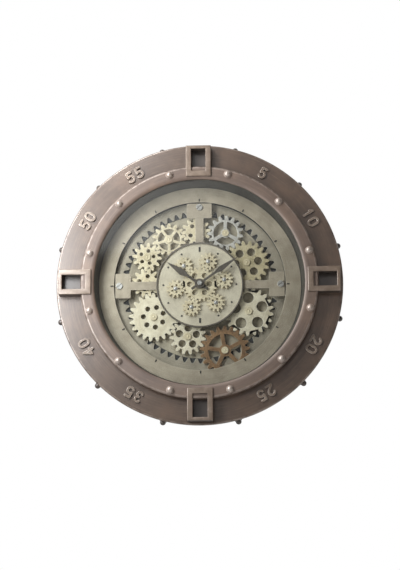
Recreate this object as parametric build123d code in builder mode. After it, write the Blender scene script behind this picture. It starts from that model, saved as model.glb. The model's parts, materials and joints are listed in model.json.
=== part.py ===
from build123d import *
import math
import os

os.makedirs("parts", exist_ok=True)

# Porthole wall clock with exposed gears. The dial faces -Y, +Z is up, and the origin is where
# the dial axis meets the wall. Depths are measured from the wall towards the viewer.

# Clearances
running_fit = 0.1
press_gap = 0.02
seat_gap = 0.2
end_float = 0.5

# Gear teeth
pressure_angle = math.radians(24.0)
addendum_ratio = 0.82
dedendum_ratio = 1.15
gear_module = 4.0
gear_backlash = 0.7
gear_thickness = 4.0
planet_margin = 14.45
planet_backlash = 0.6
planet_thickness = 3.0
planet_teeth = 12
sun_teeth = 24
planet_count = 6
planet_start = 10.0
centre_wheel_teeth = 15

# Wheels on the plate: the wheel each one meshes with, the direction to it in degrees and its teeth
gear_train = {
    "motor_pinion": ("centre_wheel", -90.0, 10),
    "lower_gear": ("motor_pinion", -117.0, 15),
    "copper_wheel": ("lower_gear", -21.2, 21),
    "five_hole_gear": ("copper_wheel", 58.3, 21),
    "left_lower_gear": ("lower_gear", 149.2, 21),
    "left_idler": ("left_lower_gear", 102.0, 12),
    "left_upper_gear": ("left_idler", 88.0, 12),
    "kidney_gear": ("left_upper_gear", 39.0, 14),
    "top_idler": ("kidney_gear", 16.3, 12),
    "silver_wheel": ("top_idler", -4.0, 15),
    "olive_gear": ("silver_wheel", -55.5, 19),
}

# Round windows in a wheel's web: how many, hub radius inside them and rim left below the teeth
holed_webs = {
    "motor_pinion": (5, 5.5, 3.0),
    "lower_gear": (5, 9.5, 2.5),
    "five_hole_gear": (5, 15.5, 1.9),
    "left_lower_gear": (7, 14.1, 14.1),
    "left_idler": (4, 8.5, 3.0),
    "left_upper_gear": (5, 8.5, 3.9),
    "top_idler": (4, 8.5, 3.0),
    "olive_gear": (6, 13.5, 5.0),
}

# Spoked wheels: how many spokes, their width, hub radius, rim left below the teeth and first spoke
spoked_webs = {
    "copper_wheel": (5, 7.0, 11.0, 7.0, 100.0),
    "kidney_gear": (5, 5.0, 9.0, 3.0, 54.0),
    "silver_wheel": (3, 6.0, 8.5, 3.4, 90.0),
}

# Round windows of the wheels round the dial axis: how many, land round the hub and rim below the teeth
centre_wheel_windows = (5, 2.0, 3.0)
sun_windows = (6, 5.5, 4.0)
planet_windows = (5, 0.8, 3.5)

post_radius = 4.0
post_shoulder = 1.0
cap_radius = 6.5
cap_thickness = 2.0
gear_lift = 5.5

# Movement plate and the toothed ring that lies on it
wall_lip_sheet = 2.0
wall_lip_width = 34.0
movement_space = 22.0
plate_thickness = 2.0
ring_teeth = 60
ring_tooth_height = 9.0
ring_width = 23.0
ring_thickness = 3.0
ring_gap = 0.5
plate_post_radius = 5.0
plate_post_count = 8
plate_post_start = 22.5
plate_rivet_radius = 2.0
plate_rivet_head = 4.5
plate_rivet_height = 2.5

# Hours on the dial
hour_count = 12

# Bridges over the gears, at these clock angles, and the centre disc that they carry
bridge_angles = (270.0, 0.0, 90.0)
bridge_sheet = 2.0
bridge_stem_width = 15.0
bridge_lap = 10.5
bridge_head_length = 28.0
bridge_head_width = 46.0
bridge_pillar_radius = 3.5
bridge_screw_radius = 1.8
bridge_screw_head = 6.0
bridge_screw_height = 2.4
bridge_slot_turn = 40.0
disc_radius = 76.5
disc_sheet = 2.0
disc_rim_width = 3.0
disc_rim_height = 2.5
marker_inset = 10.0
marker_radius = 1.8
marker_bar = 9.0
marker_height = 0.8
planet_lift = 2.5
planet_post_radius = 2.5
planet_post_shoulder = 0.8
planet_cap_radius = 4.0
planet_cap_thickness = 1.2

# Chapter ring with its five-minute ticks
chapter_width = 27.5
chapter_margin = 10.4
chapter_sheet = 2.0
chapter_foot_radius = 3.0
chapter_foot_inset = 10.5
chapter_foot_count = 6
chapter_foot_start = 30.0
tick_length = 5.0
tick_width = 2.2
tick_height = 1.2
tick_inset = 1.5

# Liner, glass and gasket
liner_depth = 45.0
liner_slope = 0.175
liner_sheet = 1.5
glass_thickness = 3.0
glass_overlap = 9.0
gasket_lip = 1.0
gasket_wall = 2.3

# Bezel, drum and numbered flange
bezel_thickness = 3.0
bezel_wall = 2.0
bezel_inner_round = 2.5
bezel_outer_round = 4.0
bezel_screw_radius = 2.5
bezel_screw_land = 1.3
bezel_screw_length = 16.0
bezel_head_radius = 7.0
bezel_head_height = 7.0
bezel_head_edge = 1.0
drum_wall = 2.0
flange_front = 62.0
flange_width = 45.0
flange_sheet = 2.0
flange_edge_round = 4.0
flange_bead = 6.0
skirt_inset = 6.5
skirt_depth = 27.0
collar_depth = 12.0
fastener_count = 12
fastener_start = 15.0
rim_bolt_radius = 3.0
rim_bolt_head = 6.5
rim_bolt_height = 13.0
rim_bolt_edge = 7.0
rim_bolt_setback = 14.5
rim_bolt_tail = 2.0

# Strap lugs
lug_width = 46.3
lug_side_bar = 10.2
lug_inner_bar = 11.0
lug_outer_bar = 6.4
lug_rise = 3.0
lug_overlap = 5.0
lug_edge_inset = 5.8
lug_round = 1.5

# Numerals
numeral_height = 22.0
numeral_width = 15.0
numeral_stroke = 4.2
numeral_spacing = 3.4
numeral_rise = 3.4

# Hands, set at nine minutes past ten
hour_angle = 304.7
minute_angle = 55.0
hour_length = 74.0
hour_neck = 5.0
hour_shoulder = 27.0
hour_blade = 13.0
minute_length = 89.0
minute_neck = 4.5
minute_shoulder = 36.0
minute_blade = 10.5
hand_thickness = 1.2
hand_hub_radius = 9.0
nut_sides = 6
hour_hand_lift = 2.5
minute_hand_lift = 1.8
hand_nut_radius = 4.5
hand_nut_height = 3.8

# Clock movement with its motion work
movement_width = 56.0
movement_top = 28.0
movement_bottom = 34.0
movement_depth = 17.0
movement_wall = 1.6
cover_thickness = 1.5
stem_radius = 5.0
stem_bore = 3.0
stem_nut_radius = 8.5
stem_nut_height = 3.5
minute_shaft_radius = 1.5
sleeve_wall = 2.4
motion_distance = 14.0
motion_backlash = 0.12
cannon_teeth = 12
minute_wheel_teeth = 36
motion_pinion_teeth = 10
hour_wheel_teeth = 40
motion_wheel_thickness = 1.5
set_stem_radius = 1.5
knob_radius = 8.0
knob_height = 4.0
knob_grooves = 16
knob_groove_radius = 0.8
cell_radius = 7.1
cell_length = 50.0
cell_cap_radius = 2.7
cell_cap_length = 1.0
cell_gap = 0.4

# Gear motor
motor_radius = 12.5
motor_depth = 16.0
motor_shaft_radius = 3.0
motor_shaft_hole = 3.6
motor_ear_land = 7.5
motor_ear_width = 10.0
motor_ear_sheet = 1.5
motor_screw_radius = 1.4
motor_screw_head = 2.8
motor_screw_height = 1.8

# Battery tray for the gear motor, with its switch and leads
tray_left = -125.0
tray_bottom = 23.0
tray_length = 66.0
tray_wall = 1.6
tray_depth = 18.0
switch_block = 12.0
switch_slot_width = 5.0
switch_slot_length = 15.0
switch_slot_depth = 3.0
switch_slider_length = 8.0
switch_slider_rise = 1.8
lead_radius = 0.8
lead_spacing = 3.2
lead_bend = 28.0
lead_height = 6.0

# Hanger plate with the keyhole for the wall screw
hanger_width = 36.0
hanger_lap = 14.0
hanger_edge = 7.0
hanger_sheet = 2.0
keyhole_radius = 6.0
keyhole_slot_radius = 3.0
keyhole_rise = 13.0
keyhole_margin = 4.0


def involute(angle):
    return math.tan(angle) - angle


def polar(radius, angle):
    return (radius * math.cos(angle), radius * math.sin(angle))


def tip_radius(teeth, module):
    return teeth * module / 2 + addendum_ratio * module


def root_radius(teeth, module):
    return teeth * module / 2 - dedendum_ratio * module


def meshed_phase(phase, teeth, direction, mate_teeth):
    """Angle of a tooth on the mate that drops it into a gap of the first wheel."""
    return direction + 180.0 - (phase - direction) * teeth / mate_teeth + 180.0 / mate_teeth


def draw_toothed_outline(teeth, module, phase, backlash, outer, inner):
    """Closed outline of involute teeth between two radii, drawn in the line block it is called from."""
    pitch = 2 * math.pi / teeth
    pitch_radius = teeth * module / 2
    base_radius = pitch_radius * math.cos(pressure_angle)
    foot_radius = max(base_radius, inner)
    half_tooth = (math.pi * module / 2 - backlash / 2) / (2 * pitch_radius)
    flank = []
    for radius in (foot_radius, (foot_radius + outer) / 2, outer):
        lean = involute(math.acos(min(1.0, base_radius / radius)))
        flank.append((radius, half_tooth + involute(pressure_angle) - lean))
    foot_angle = flank[0][1]
    for tooth in range(teeth):
        middle = math.radians(phase) + tooth * pitch
        rising = [polar(radius, middle - angle) for radius, angle in flank]
        falling = [polar(radius, middle + angle) for radius, angle in reversed(flank)]
        gap_start = polar(inner, middle + foot_angle)
        gap_end = polar(inner, middle + pitch - foot_angle)
        ThreePointArc(*rising)
        ThreePointArc(rising[-1], polar(outer, middle), falling[0])
        ThreePointArc(*falling)
        if foot_radius > inner:
            Line(falling[-1], gap_start)
        ThreePointArc(gap_start, polar(inner, middle + pitch / 2), gap_end)
        if foot_radius > inner:
            Line(gap_end, polar(foot_radius, middle + pitch - foot_angle))


def toothed_face(teeth, module, phase, backlash, outer, inner):
    with BuildSketch() as face:
        with BuildLine():
            draw_toothed_outline(teeth, module, phase, backlash, outer, inner)
        make_face()
    return face.sketch


def gear_face(teeth, module, phase, backlash):
    return toothed_face(
        teeth, module, phase, backlash, tip_radius(teeth, module), root_radius(teeth, module)
    )


def pierce_round_windows(count, hub, outer, start):
    """Round windows between the hub and an outer radius."""
    with PolarLocations((hub + outer) / 2, count, start_angle=start):
        Circle((outer - hub) / 2, mode=Mode.SUBTRACT)


def leave_spokes(count, width, hub, outer, start):
    """Opens the web up to an outer radius, but for the hub and its spokes."""
    Circle(outer, mode=Mode.SUBTRACT)
    Circle(hub)
    with PolarLocations((hub + outer) / 2, count, start_angle=start):
        Rectangle(outer - hub + width, width)


def dome_radius(base, height):
    """Radius of the sphere whose cap has this base radius and height."""
    return (base**2 + height**2) / (2 * height)


def face_plane(depth, x=0.0, z=0.0):
    """Plane parallel to the wall, facing the viewer, with its own x to the right and y up."""
    return Plane(origin=(x, -depth, z), x_dir=(1, 0, 0), z_dir=(0, -1, 0))


def clock_plane(depth, angle, radius=0.0):
    """Face plane turned so that its y points outward at a clock angle, in degrees clockwise from twelve."""
    turn = math.radians(angle)
    return Plane(
        origin=(radius * math.sin(turn), -depth, radius * math.cos(turn)),
        x_dir=(math.cos(turn), 0, -math.sin(turn)),
        z_dir=(0, -1, 0),
    )


def save(builder, name):
    builder.part.label = name
    export_step(builder.part, f"parts/{name}.step")


# Depths of the layers, from the wall forward
plate_back = wall_lip_sheet + movement_space
plate_front = plate_back + plate_thickness
gear_back = plate_front + gear_lift
gear_front = gear_back + gear_thickness
cap_back = gear_front + end_float
bridge_back = cap_back + cap_thickness + end_float
bridge_front = bridge_back + bridge_sheet
disc_front = bridge_front + disc_sheet
planet_back = disc_front + planet_lift
planet_front = planet_back + planet_thickness
hour_hand_back = planet_front + hour_hand_lift
hour_hand_front = hour_hand_back + hand_thickness
minute_hand_back = hour_hand_front + minute_hand_lift
minute_hand_front = minute_hand_back + hand_thickness
liner_front = plate_front + liner_depth
glass_front = liner_front + glass_thickness
drum_front = glass_front + gasket_lip
bezel_front = drum_front + bezel_thickness
lug_front = bezel_front + lug_rise
chapter_front = bridge_back + chapter_sheet

# Centres and tooth phases of the wheels
wheel_teeth = {"centre_wheel": centre_wheel_teeth}
wheel_place = {"centre_wheel": (0.0, 0.0)}
wheel_phase = {"centre_wheel": 0.0}
for name, (driver, direction, teeth) in gear_train.items():
    distance = (wheel_teeth[driver] + teeth) * gear_module / 2
    step_x, step_z = polar(distance, math.radians(direction))
    wheel_teeth[name] = teeth
    wheel_place[name] = (wheel_place[driver][0] + step_x, wheel_place[driver][1] + step_z)
    wheel_phase[name] = meshed_phase(wheel_phase[driver], wheel_teeth[driver], direction, teeth)
posted_wheels = [name for name in gear_train if name != "motor_pinion"]
motor_x, motor_z = wheel_place["motor_pinion"]
planet_module = (disc_radius - planet_margin) / (sun_teeth / 2 + planet_teeth + addendum_ratio)
planet_circle = (sun_teeth + planet_teeth) * planet_module / 2

# Radii of the case, from the gears outward
copper_distance = math.hypot(*wheel_place["copper_wheel"])
copper_reach = copper_distance + tip_radius(wheel_teeth["copper_wheel"], gear_module)
ring_tip = copper_distance + post_radius + post_shoulder + ring_gap
ring_root = ring_tip + ring_tooth_height
chapter_outer = copper_reach + chapter_margin
chapter_inner = chapter_outer - chapter_width
chapter_foot_circle = chapter_outer - chapter_foot_inset
liner_back_radius = chapter_outer + seat_gap - liner_slope * (bridge_back - plate_front)
bezel_inner = liner_back_radius + liner_slope * liner_depth
glass_radius = bezel_inner + glass_overlap
gasket_outer = glass_radius + seat_gap + gasket_wall
bezel_screw_circle = gasket_outer + bezel_screw_land + bezel_screw_radius
drum_inner = bezel_screw_circle + bezel_screw_radius + 2 * bezel_screw_land
drum_outer = drum_inner + drum_wall
collar_inner = drum_outer + seat_gap
bezel_outer = collar_inner + bezel_wall
flange_outer = bezel_outer + flange_width
wall_lip_inner = drum_outer - wall_lip_width
plate_radius = drum_inner - seat_gap
plate_post_circle = drum_inner - seat_gap - plate_post_radius - bezel_screw_land
bridge_pillar_circle = ring_root + bridge_pillar_radius + ring_gap
bridge_inner = disc_radius - bridge_lap
bridge_outer = bridge_pillar_circle + bridge_screw_head + bezel_screw_land
bridge_turns = [math.radians(90.0 - angle) for angle in bridge_angles]
bridge_pillar_places = [polar(bridge_pillar_circle, turn) for turn in bridge_turns]
keyhole_z = wall_lip_inner - keyhole_margin - keyhole_slot_radius - keyhole_rise
rim_bolt_depth = flange_front - rim_bolt_setback
lug_inner = bezel_inner + lug_overlap
lug_outer = flange_outer - lug_edge_inset

# Case drum with its turned-in wall lip
with BuildPart() as case_drum:
    with BuildSketch(Plane.XY):
        with BuildLine():
            Polyline(
                (wall_lip_inner, 0),
                (drum_outer, 0),
                (drum_outer, -drum_front),
                (drum_inner, -drum_front),
                (drum_inner, -wall_lip_sheet),
                (wall_lip_inner, -wall_lip_sheet),
                close=True,
            )
        make_face()
    revolve(axis=Axis.Y)
save(case_drum, "case_drum")

# Hanger plate welded to the front of the lip, with the keyhole below the lip's edge
hanger_top = wall_lip_inner + hanger_lap
hanger_bottom = keyhole_z - keyhole_radius - hanger_edge
with BuildPart() as hanger_plate:
    with BuildSketch(face_plane(wall_lip_sheet, 0, keyhole_z)):
        with Locations((0, (hanger_top + hanger_bottom) / 2 - keyhole_z)):
            RectangleRounded(hanger_width, hanger_top - hanger_bottom, keyhole_slot_radius)
        Circle(keyhole_radius, mode=Mode.SUBTRACT)
        with Locations((0, keyhole_rise / 2)):
            Rectangle(2 * keyhole_slot_radius, keyhole_rise, mode=Mode.SUBTRACT)
        with Locations((0, keyhole_rise)):
            Circle(keyhole_slot_radius, mode=Mode.SUBTRACT)
    extrude(amount=hanger_sheet)
save(hanger_plate, "hanger_plate")

# Numbered flange: face, beaded outer edge, skirt set in below the bead and the collar round the drum
skirt_outer = flange_outer - skirt_inset
skirt_inner = skirt_outer - flange_sheet
rim_bolt_shank = flange_sheet + rim_bolt_tail
with BuildPart() as outer_flange:
    with BuildSketch(Plane.XY):
        with BuildLine():
            Polyline(
                (collar_inner, -(flange_front - collar_depth)),
                (collar_inner, -flange_front),
                (flange_outer - flange_edge_round, -flange_front),
            )
            RadiusArc(
                (flange_outer - flange_edge_round, -flange_front),
                (flange_outer, -(flange_front - flange_edge_round)),
                -flange_edge_round,
            )
            Polyline(
                (flange_outer, -(flange_front - flange_edge_round)),
                (flange_outer, -(flange_front - flange_bead)),
                (skirt_outer, -(flange_front - flange_bead)),
                (skirt_outer, -(flange_front - skirt_depth)),
                (skirt_inner, -(flange_front - skirt_depth)),
                (skirt_inner, -(flange_front - flange_sheet)),
                (collar_inner + flange_sheet, -(flange_front - flange_sheet)),
                (collar_inner + flange_sheet, -(flange_front - collar_depth)),
                (collar_inner, -(flange_front - collar_depth)),
            )
        make_face()
    revolve(axis=Axis.Y)
    with Locations(face_plane(rim_bolt_depth)):
        with PolarLocations(skirt_outer, fastener_count, start_angle=fastener_start):
            Cylinder(
                rim_bolt_radius + running_fit, 2 * rim_bolt_shank, rotation=(0, 90, 0), mode=Mode.SUBTRACT
            )
save(outer_flange, "outer_flange")

# Domed bolt through the rim skirt, drawn along its own axis with the head outward
with BuildPart() as rim_bolt:
    with BuildSketch(Plane.XZ):
        with BuildLine():
            Polyline(
                (0, -rim_bolt_shank),
                (rim_bolt_radius, -rim_bolt_shank),
                (rim_bolt_radius, 0),
                (rim_bolt_head, 0),
                (rim_bolt_head, rim_bolt_edge),
            )
            RadiusArc(
                (rim_bolt_head, rim_bolt_edge),
                (0, rim_bolt_height),
                -dome_radius(rim_bolt_head, rim_bolt_height - rim_bolt_edge),
            )
            Line((0, rim_bolt_height), (0, -rim_bolt_shank))
        make_face()
    revolve(axis=Axis.Z)

with BuildPart() as rim_bolts:
    with Locations(face_plane(rim_bolt_depth)):
        with PolarLocations(skirt_outer, fastener_count, start_angle=fastener_start):
            add(rim_bolt.part, rotation=(0, 90, 0), clean=False)
save(rim_bolts, "rim_bolts")

# Bezel: rounded front plate and the skirt that slips over the drum
with BuildPart() as bezel_ring:
    with BuildSketch(Plane.XY):
        with BuildLine():
            Polyline(
                (bezel_inner + bezel_inner_round, -bezel_front),
                (bezel_outer - bezel_outer_round, -bezel_front),
            )
            RadiusArc(
                (bezel_outer - bezel_outer_round, -bezel_front),
                (bezel_outer, -(bezel_front - bezel_outer_round)),
                -bezel_outer_round,
            )
            Polyline(
                (bezel_outer, -(bezel_front - bezel_outer_round)),
                (bezel_outer, -flange_front),
                (collar_inner, -flange_front),
                (collar_inner, -drum_front),
                (bezel_inner, -drum_front),
                (bezel_inner, -(bezel_front - bezel_inner_round)),
            )
            RadiusArc(
                (bezel_inner, -(bezel_front - bezel_inner_round)),
                (bezel_inner + bezel_inner_round, -bezel_front),
                -bezel_inner_round,
            )
        make_face()
    revolve(axis=Axis.Y)
    with BuildSketch(face_plane(drum_front)):
        with PolarLocations(bezel_screw_circle, fastener_count, start_angle=fastener_start):
            Circle(bezel_screw_radius + running_fit)
    extrude(amount=bezel_thickness, mode=Mode.SUBTRACT)
save(bezel_ring, "bezel_ring")

# Domed bezel screw, drawn with its seat on its own origin
with BuildPart() as bezel_screw:
    with BuildSketch(Plane.XZ):
        with BuildLine():
            Polyline(
                (0, -bezel_screw_length),
                (bezel_screw_radius, -bezel_screw_length),
                (bezel_screw_radius, 0),
                (bezel_head_radius, 0),
                (bezel_head_radius, bezel_head_edge),
            )
            RadiusArc(
                (bezel_head_radius, bezel_head_edge),
                (0, bezel_head_height),
                -dome_radius(bezel_head_radius, bezel_head_height - bezel_head_edge),
            )
            Line((0, bezel_head_height), (0, -bezel_screw_length))
        make_face()
    revolve(axis=Axis.Z)

with BuildPart() as bezel_screws:
    with Locations(face_plane(bezel_front)):
        with PolarLocations(bezel_screw_circle, fastener_count, start_angle=fastener_start):
            add(bezel_screw.part, clean=False)
save(bezel_screws, "bezel_screws")

# Four open strap lugs, standing on the flange and reaching over the bezel
lug_middle = (lug_inner + lug_outer) / 2
lug_length = lug_outer - lug_inner
window_length = lug_length - lug_inner_bar - lug_outer_bar
with BuildPart() as strap_lugs:
    for angle in (0.0, 90.0, 180.0, 270.0):
        with BuildSketch(clock_plane(flange_front, angle, lug_middle)):
            RectangleRounded(lug_width, lug_length, lug_round)
            with Locations((0, (lug_inner_bar - lug_outer_bar) / 2)):
                Rectangle(lug_width - 2 * lug_side_bar, window_length, mode=Mode.SUBTRACT)
        extrude(amount=lug_front - flange_front)
    fillet(strap_lugs.faces().group_by(Axis.Y)[0].edges(), lug_round)
    with BuildSketch(face_plane(flange_front)):
        Circle(bezel_outer + seat_gap)
    extrude(amount=bezel_front - flange_front, mode=Mode.SUBTRACT)
save(strap_lugs, "strap_lugs")


def digit_face(digit):
    """Stroke of one digit about the sketch's origin."""
    reach = (numeral_width - numeral_stroke) / 2
    rise = (numeral_height - numeral_stroke) / 2
    lobe = rise / 2
    with BuildSketch() as face:
        with BuildLine() as stroke:
            if digit == "0":
                CenterArc((0, rise - reach), reach, 0, 180)
                Line((-reach, rise - reach), (-reach, reach - rise))
                CenterArc((0, reach - rise), reach, 180, 180)
                Line((reach, reach - rise), (reach, rise - reach))
            elif digit == "1":
                Polyline((-0.6 * reach, 0.5 * rise), (0, rise), (0, -rise))
            elif digit == "2":
                bowl = CenterArc((0, rise - reach), reach, 165, -205)
                Polyline(bowl @ 1, (-reach, -rise), (reach, -rise))
            elif digit == "3":
                CenterArc((0, lobe), lobe, 150, -240)
                CenterArc((0, -lobe), lobe, 90, -240)
            elif digit == "4":
                Polyline(
                    (0.45 * reach, -rise), (0.45 * reach, rise), (-reach, -0.4 * rise), (reach, -0.4 * rise)
                )
            elif digit == "5":
                bowl = CenterArc((0, reach - rise), reach, 135, -285)
                Polyline((0.9 * reach, rise), (-0.7 * reach, rise), bowl @ 0)
        for edge in stroke.edges():
            trace(edge, numeral_stroke)
        with Locations(*[Vector(corner) for corner in stroke.vertices()]):
            Circle(numeral_stroke / 2)
    return face.sketch


# Raised minute numerals on the flange, their tops outward
numeral_circle = (bezel_outer + flange_outer - flange_edge_round) / 2
with BuildPart() as minute_numerals:
    for number in (5, 10, 20, 25, 35, 40, 50, 55):
        digits = str(number)
        with BuildSketch(clock_plane(flange_front, 6.0 * number, numeral_circle)):
            for place, digit in enumerate(digits):
                with Locations(((place - (len(digits) - 1) / 2) * (numeral_width + numeral_spacing), 0)):
                    add(digit_face(digit))
        extrude(amount=numeral_rise)
save(minute_numerals, "minute_numerals")

# Glass, its gasket and the conical liner that holds both against the bezel
with BuildPart() as glass_lens:
    with BuildSketch(face_plane(liner_front)):
        Circle(glass_radius)
    extrude(amount=glass_thickness)
save(glass_lens, "glass_lens")

with BuildPart() as glass_gasket:
    with BuildSketch(face_plane(liner_front)):
        Circle(gasket_outer)
        Circle(glass_radius + seat_gap, mode=Mode.SUBTRACT)
    extrude(amount=glass_thickness)
    with BuildSketch(face_plane(glass_front)):
        Circle(gasket_outer)
        Circle(bezel_inner + seat_gap, mode=Mode.SUBTRACT)
    extrude(amount=gasket_lip)
save(glass_gasket, "glass_gasket")

liner_under = liner_front - liner_sheet
with BuildPart() as liner_cone:
    with BuildSketch(Plane.XY):
        with BuildLine():
            Polyline(
                (liner_back_radius, -plate_front),
                (liner_back_radius + liner_sheet, -plate_front),
                (bezel_inner + liner_sheet - liner_slope * liner_sheet, -liner_under),
                (plate_radius, -liner_under),
                (plate_radius, -liner_front),
                (bezel_inner, -liner_front),
                close=True,
            )
        make_face()
    revolve(axis=Axis.Y)
    with BuildSketch(face_plane(liner_under)):
        with PolarLocations(bezel_screw_circle, fastener_count, start_angle=fastener_start):
            Circle(bezel_screw_radius + running_fit)
    extrude(amount=liner_sheet, mode=Mode.SUBTRACT)
save(liner_cone, "liner_cone")

# Movement plate on posts whose front ends are riveted over it
with BuildPart() as plate_posts:
    with BuildSketch(face_plane(wall_lip_sheet)):
        with PolarLocations(plate_post_circle, plate_post_count, start_angle=plate_post_start):
            Circle(plate_post_radius)
    extrude(amount=movement_space)
    with BuildSketch(face_plane(plate_back)):
        with PolarLocations(plate_post_circle, plate_post_count, start_angle=plate_post_start):
            Circle(plate_rivet_radius)
    extrude(amount=plate_thickness)
    with BuildSketch(face_plane(plate_front)):
        with PolarLocations(plate_post_circle, plate_post_count, start_angle=plate_post_start):
            Circle(plate_rivet_head)
    extrude(amount=plate_rivet_height)
save(plate_posts, "plate_posts")

motor_ear_reach = motor_radius + motor_ear_land
with BuildPart() as movement_plate:
    with BuildSketch(face_plane(plate_back)):
        Circle(plate_radius)
        Circle(stem_radius + running_fit, mode=Mode.SUBTRACT)
        with PolarLocations(plate_post_circle, plate_post_count, start_angle=plate_post_start):
            Circle(plate_rivet_radius + running_fit, mode=Mode.SUBTRACT)
        with Locations((motor_x, motor_z)):
            Circle(motor_shaft_hole, mode=Mode.SUBTRACT)
            with Locations((-motor_ear_reach, 0), (motor_ear_reach, 0)):
                Circle(motor_screw_radius + press_gap, mode=Mode.SUBTRACT)
    extrude(amount=plate_thickness)
save(movement_plate, "movement_plate")

# Toothed ring lying on the plate, its teeth inward, with holes for the bridge pillars
ring_module = (ring_tip + ring_root) / ring_teeth
with BuildPart() as toothed_ring:
    with BuildSketch(face_plane(plate_front)):
        Circle(ring_tip + ring_width)
        add(toothed_face(ring_teeth, ring_module, 0.0, 0.0, ring_root, ring_tip), mode=Mode.SUBTRACT)
        with Locations(*bridge_pillar_places):
            Circle(bridge_pillar_radius + running_fit, mode=Mode.SUBTRACT)
    extrude(amount=ring_thickness)
save(toothed_ring, "toothed_ring")

# Chapter ring with its riveted feet, and the five-minute ticks on its face
with BuildPart() as chapter_ring:
    with BuildSketch(face_plane(bridge_back)):
        Circle(chapter_outer)
        Circle(chapter_inner, mode=Mode.SUBTRACT)
    extrude(amount=chapter_sheet)
    with BuildSketch(face_plane(plate_front)):
        with PolarLocations(chapter_foot_circle, chapter_foot_count, start_angle=chapter_foot_start):
            Circle(chapter_foot_radius)
    extrude(amount=bridge_back - plate_front)
save(chapter_ring, "chapter_ring")

with BuildPart() as chapter_ticks:
    with BuildSketch(face_plane(chapter_front)):
        with PolarLocations(chapter_inner + tick_inset + tick_length / 2, hour_count):
            Rectangle(tick_length, tick_width)
    extrude(amount=tick_height)
save(chapter_ticks, "chapter_ticks")

# Three bridges over the gears, each on one pillar, carrying the centre disc
with BuildPart() as gear_bridges:
    for angle in bridge_angles:
        with BuildSketch(clock_plane(bridge_back, angle)):
            with Locations((0, (bridge_inner + bridge_outer) / 2)):
                Rectangle(bridge_stem_width, bridge_outer - bridge_inner)
            with Locations((0, bridge_outer - bridge_head_length / 2)):
                RectangleRounded(bridge_head_width, bridge_head_length, bridge_screw_radius)
            with Locations((0, bridge_pillar_circle)):
                Circle(bridge_screw_radius + running_fit, mode=Mode.SUBTRACT)
        extrude(amount=bridge_sheet)
save(gear_bridges, "gear_bridges")

with BuildPart() as bridge_pillars:
    with BuildSketch(face_plane(plate_front)):
        with Locations(*bridge_pillar_places):
            Circle(bridge_pillar_radius)
            Circle(bridge_screw_radius + press_gap, mode=Mode.SUBTRACT)
    extrude(amount=bridge_back - plate_front)
save(bridge_pillars, "bridge_pillars")

with BuildPart() as bridge_screws:
    with BuildSketch(face_plane(plate_front)):
        with Locations(*bridge_pillar_places):
            Circle(bridge_screw_radius)
    extrude(amount=bridge_front - plate_front)
    with BuildSketch(face_plane(bridge_front)):
        with Locations(*bridge_pillar_places):
            Circle(bridge_screw_head)
    extrude(amount=bridge_screw_height)
    with BuildSketch(face_plane(bridge_front + bridge_screw_height)):
        with Locations(*bridge_pillar_places):
            Rectangle(2 * bridge_screw_head, bridge_screw_radius, rotation=bridge_slot_turn)
    extrude(amount=-bridge_screw_height / 2, mode=Mode.SUBTRACT)
save(bridge_screws, "bridge_screws")

# Centre disc with its raised rim, and the hour markers
sleeve_outer = stem_radius + running_fit + sleeve_wall
with BuildPart() as centre_disc:
    with BuildSketch(face_plane(bridge_front)):
        Circle(disc_radius + disc_rim_width)
        Circle(sleeve_outer + end_float, mode=Mode.SUBTRACT)
    extrude(amount=disc_sheet)
    with BuildSketch(face_plane(disc_front)):
        Circle(disc_radius + disc_rim_width)
        Circle(disc_radius, mode=Mode.SUBTRACT)
    extrude(amount=disc_rim_height)
save(centre_disc, "centre_disc")

with BuildPart() as hour_markers:
    with BuildSketch(face_plane(disc_front)):
        with PolarLocations(disc_radius - marker_inset, hour_count):
            Circle(marker_radius)
        with PolarLocations(disc_radius - marker_inset, 2, start_angle=90):
            Rectangle(marker_bar, 2 * marker_radius)
    extrude(amount=marker_height)
save(hour_markers, "hour_markers")

# Posts for the wheels, each with a shoulder below and a cap above the wheel
with BuildPart() as gear_posts:
    with BuildSketch(face_plane(plate_front)):
        with Locations(*[wheel_place[name] for name in posted_wheels]):
            Circle(post_radius + post_shoulder)
    extrude(amount=gear_lift - seat_gap)
    with BuildSketch(face_plane(gear_back - seat_gap)):
        with Locations(*[wheel_place[name] for name in posted_wheels]):
            Circle(post_radius)
    extrude(amount=cap_back - gear_back + seat_gap)
save(gear_posts, "gear_posts")

with BuildPart() as gear_caps:
    with BuildSketch(face_plane(cap_back)):
        with Locations(*[wheel_place[name] for name in posted_wheels]):
            Circle(cap_radius)
    extrude(amount=cap_thickness)
    chamfer(gear_caps.faces().group_by(Axis.Y)[0].edges(), cap_thickness / 4)
save(gear_caps, "gear_caps")

# The wheels themselves; the motor's pinion is one piece with its shaft
motor_back = plate_back - motor_depth
shaft_back = motor_back + motor_depth / 4
for name in gear_train:
    teeth = wheel_teeth[name]
    phase = wheel_phase[name]
    root = root_radius(teeth, gear_module)
    with BuildPart() as wheel:
        with BuildSketch(face_plane(gear_back, *wheel_place[name])):
            add(gear_face(teeth, gear_module, phase, gear_backlash))
            if name in holed_webs:
                count, hub, rim = holed_webs[name]
                pierce_round_windows(count, hub, root - rim, phase)
            else:
                count, width, hub, rim, start = spoked_webs[name]
                leave_spokes(count, width, hub, root - rim, start)
            if name in posted_wheels:
                Circle(post_radius + running_fit, mode=Mode.SUBTRACT)
        extrude(amount=gear_thickness)
        if name == "motor_pinion":
            with BuildSketch(face_plane(shaft_back, motor_x, motor_z)):
                Circle(motor_shaft_radius)
            extrude(amount=gear_front - shaft_back)
    save(wheel, name)

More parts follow.
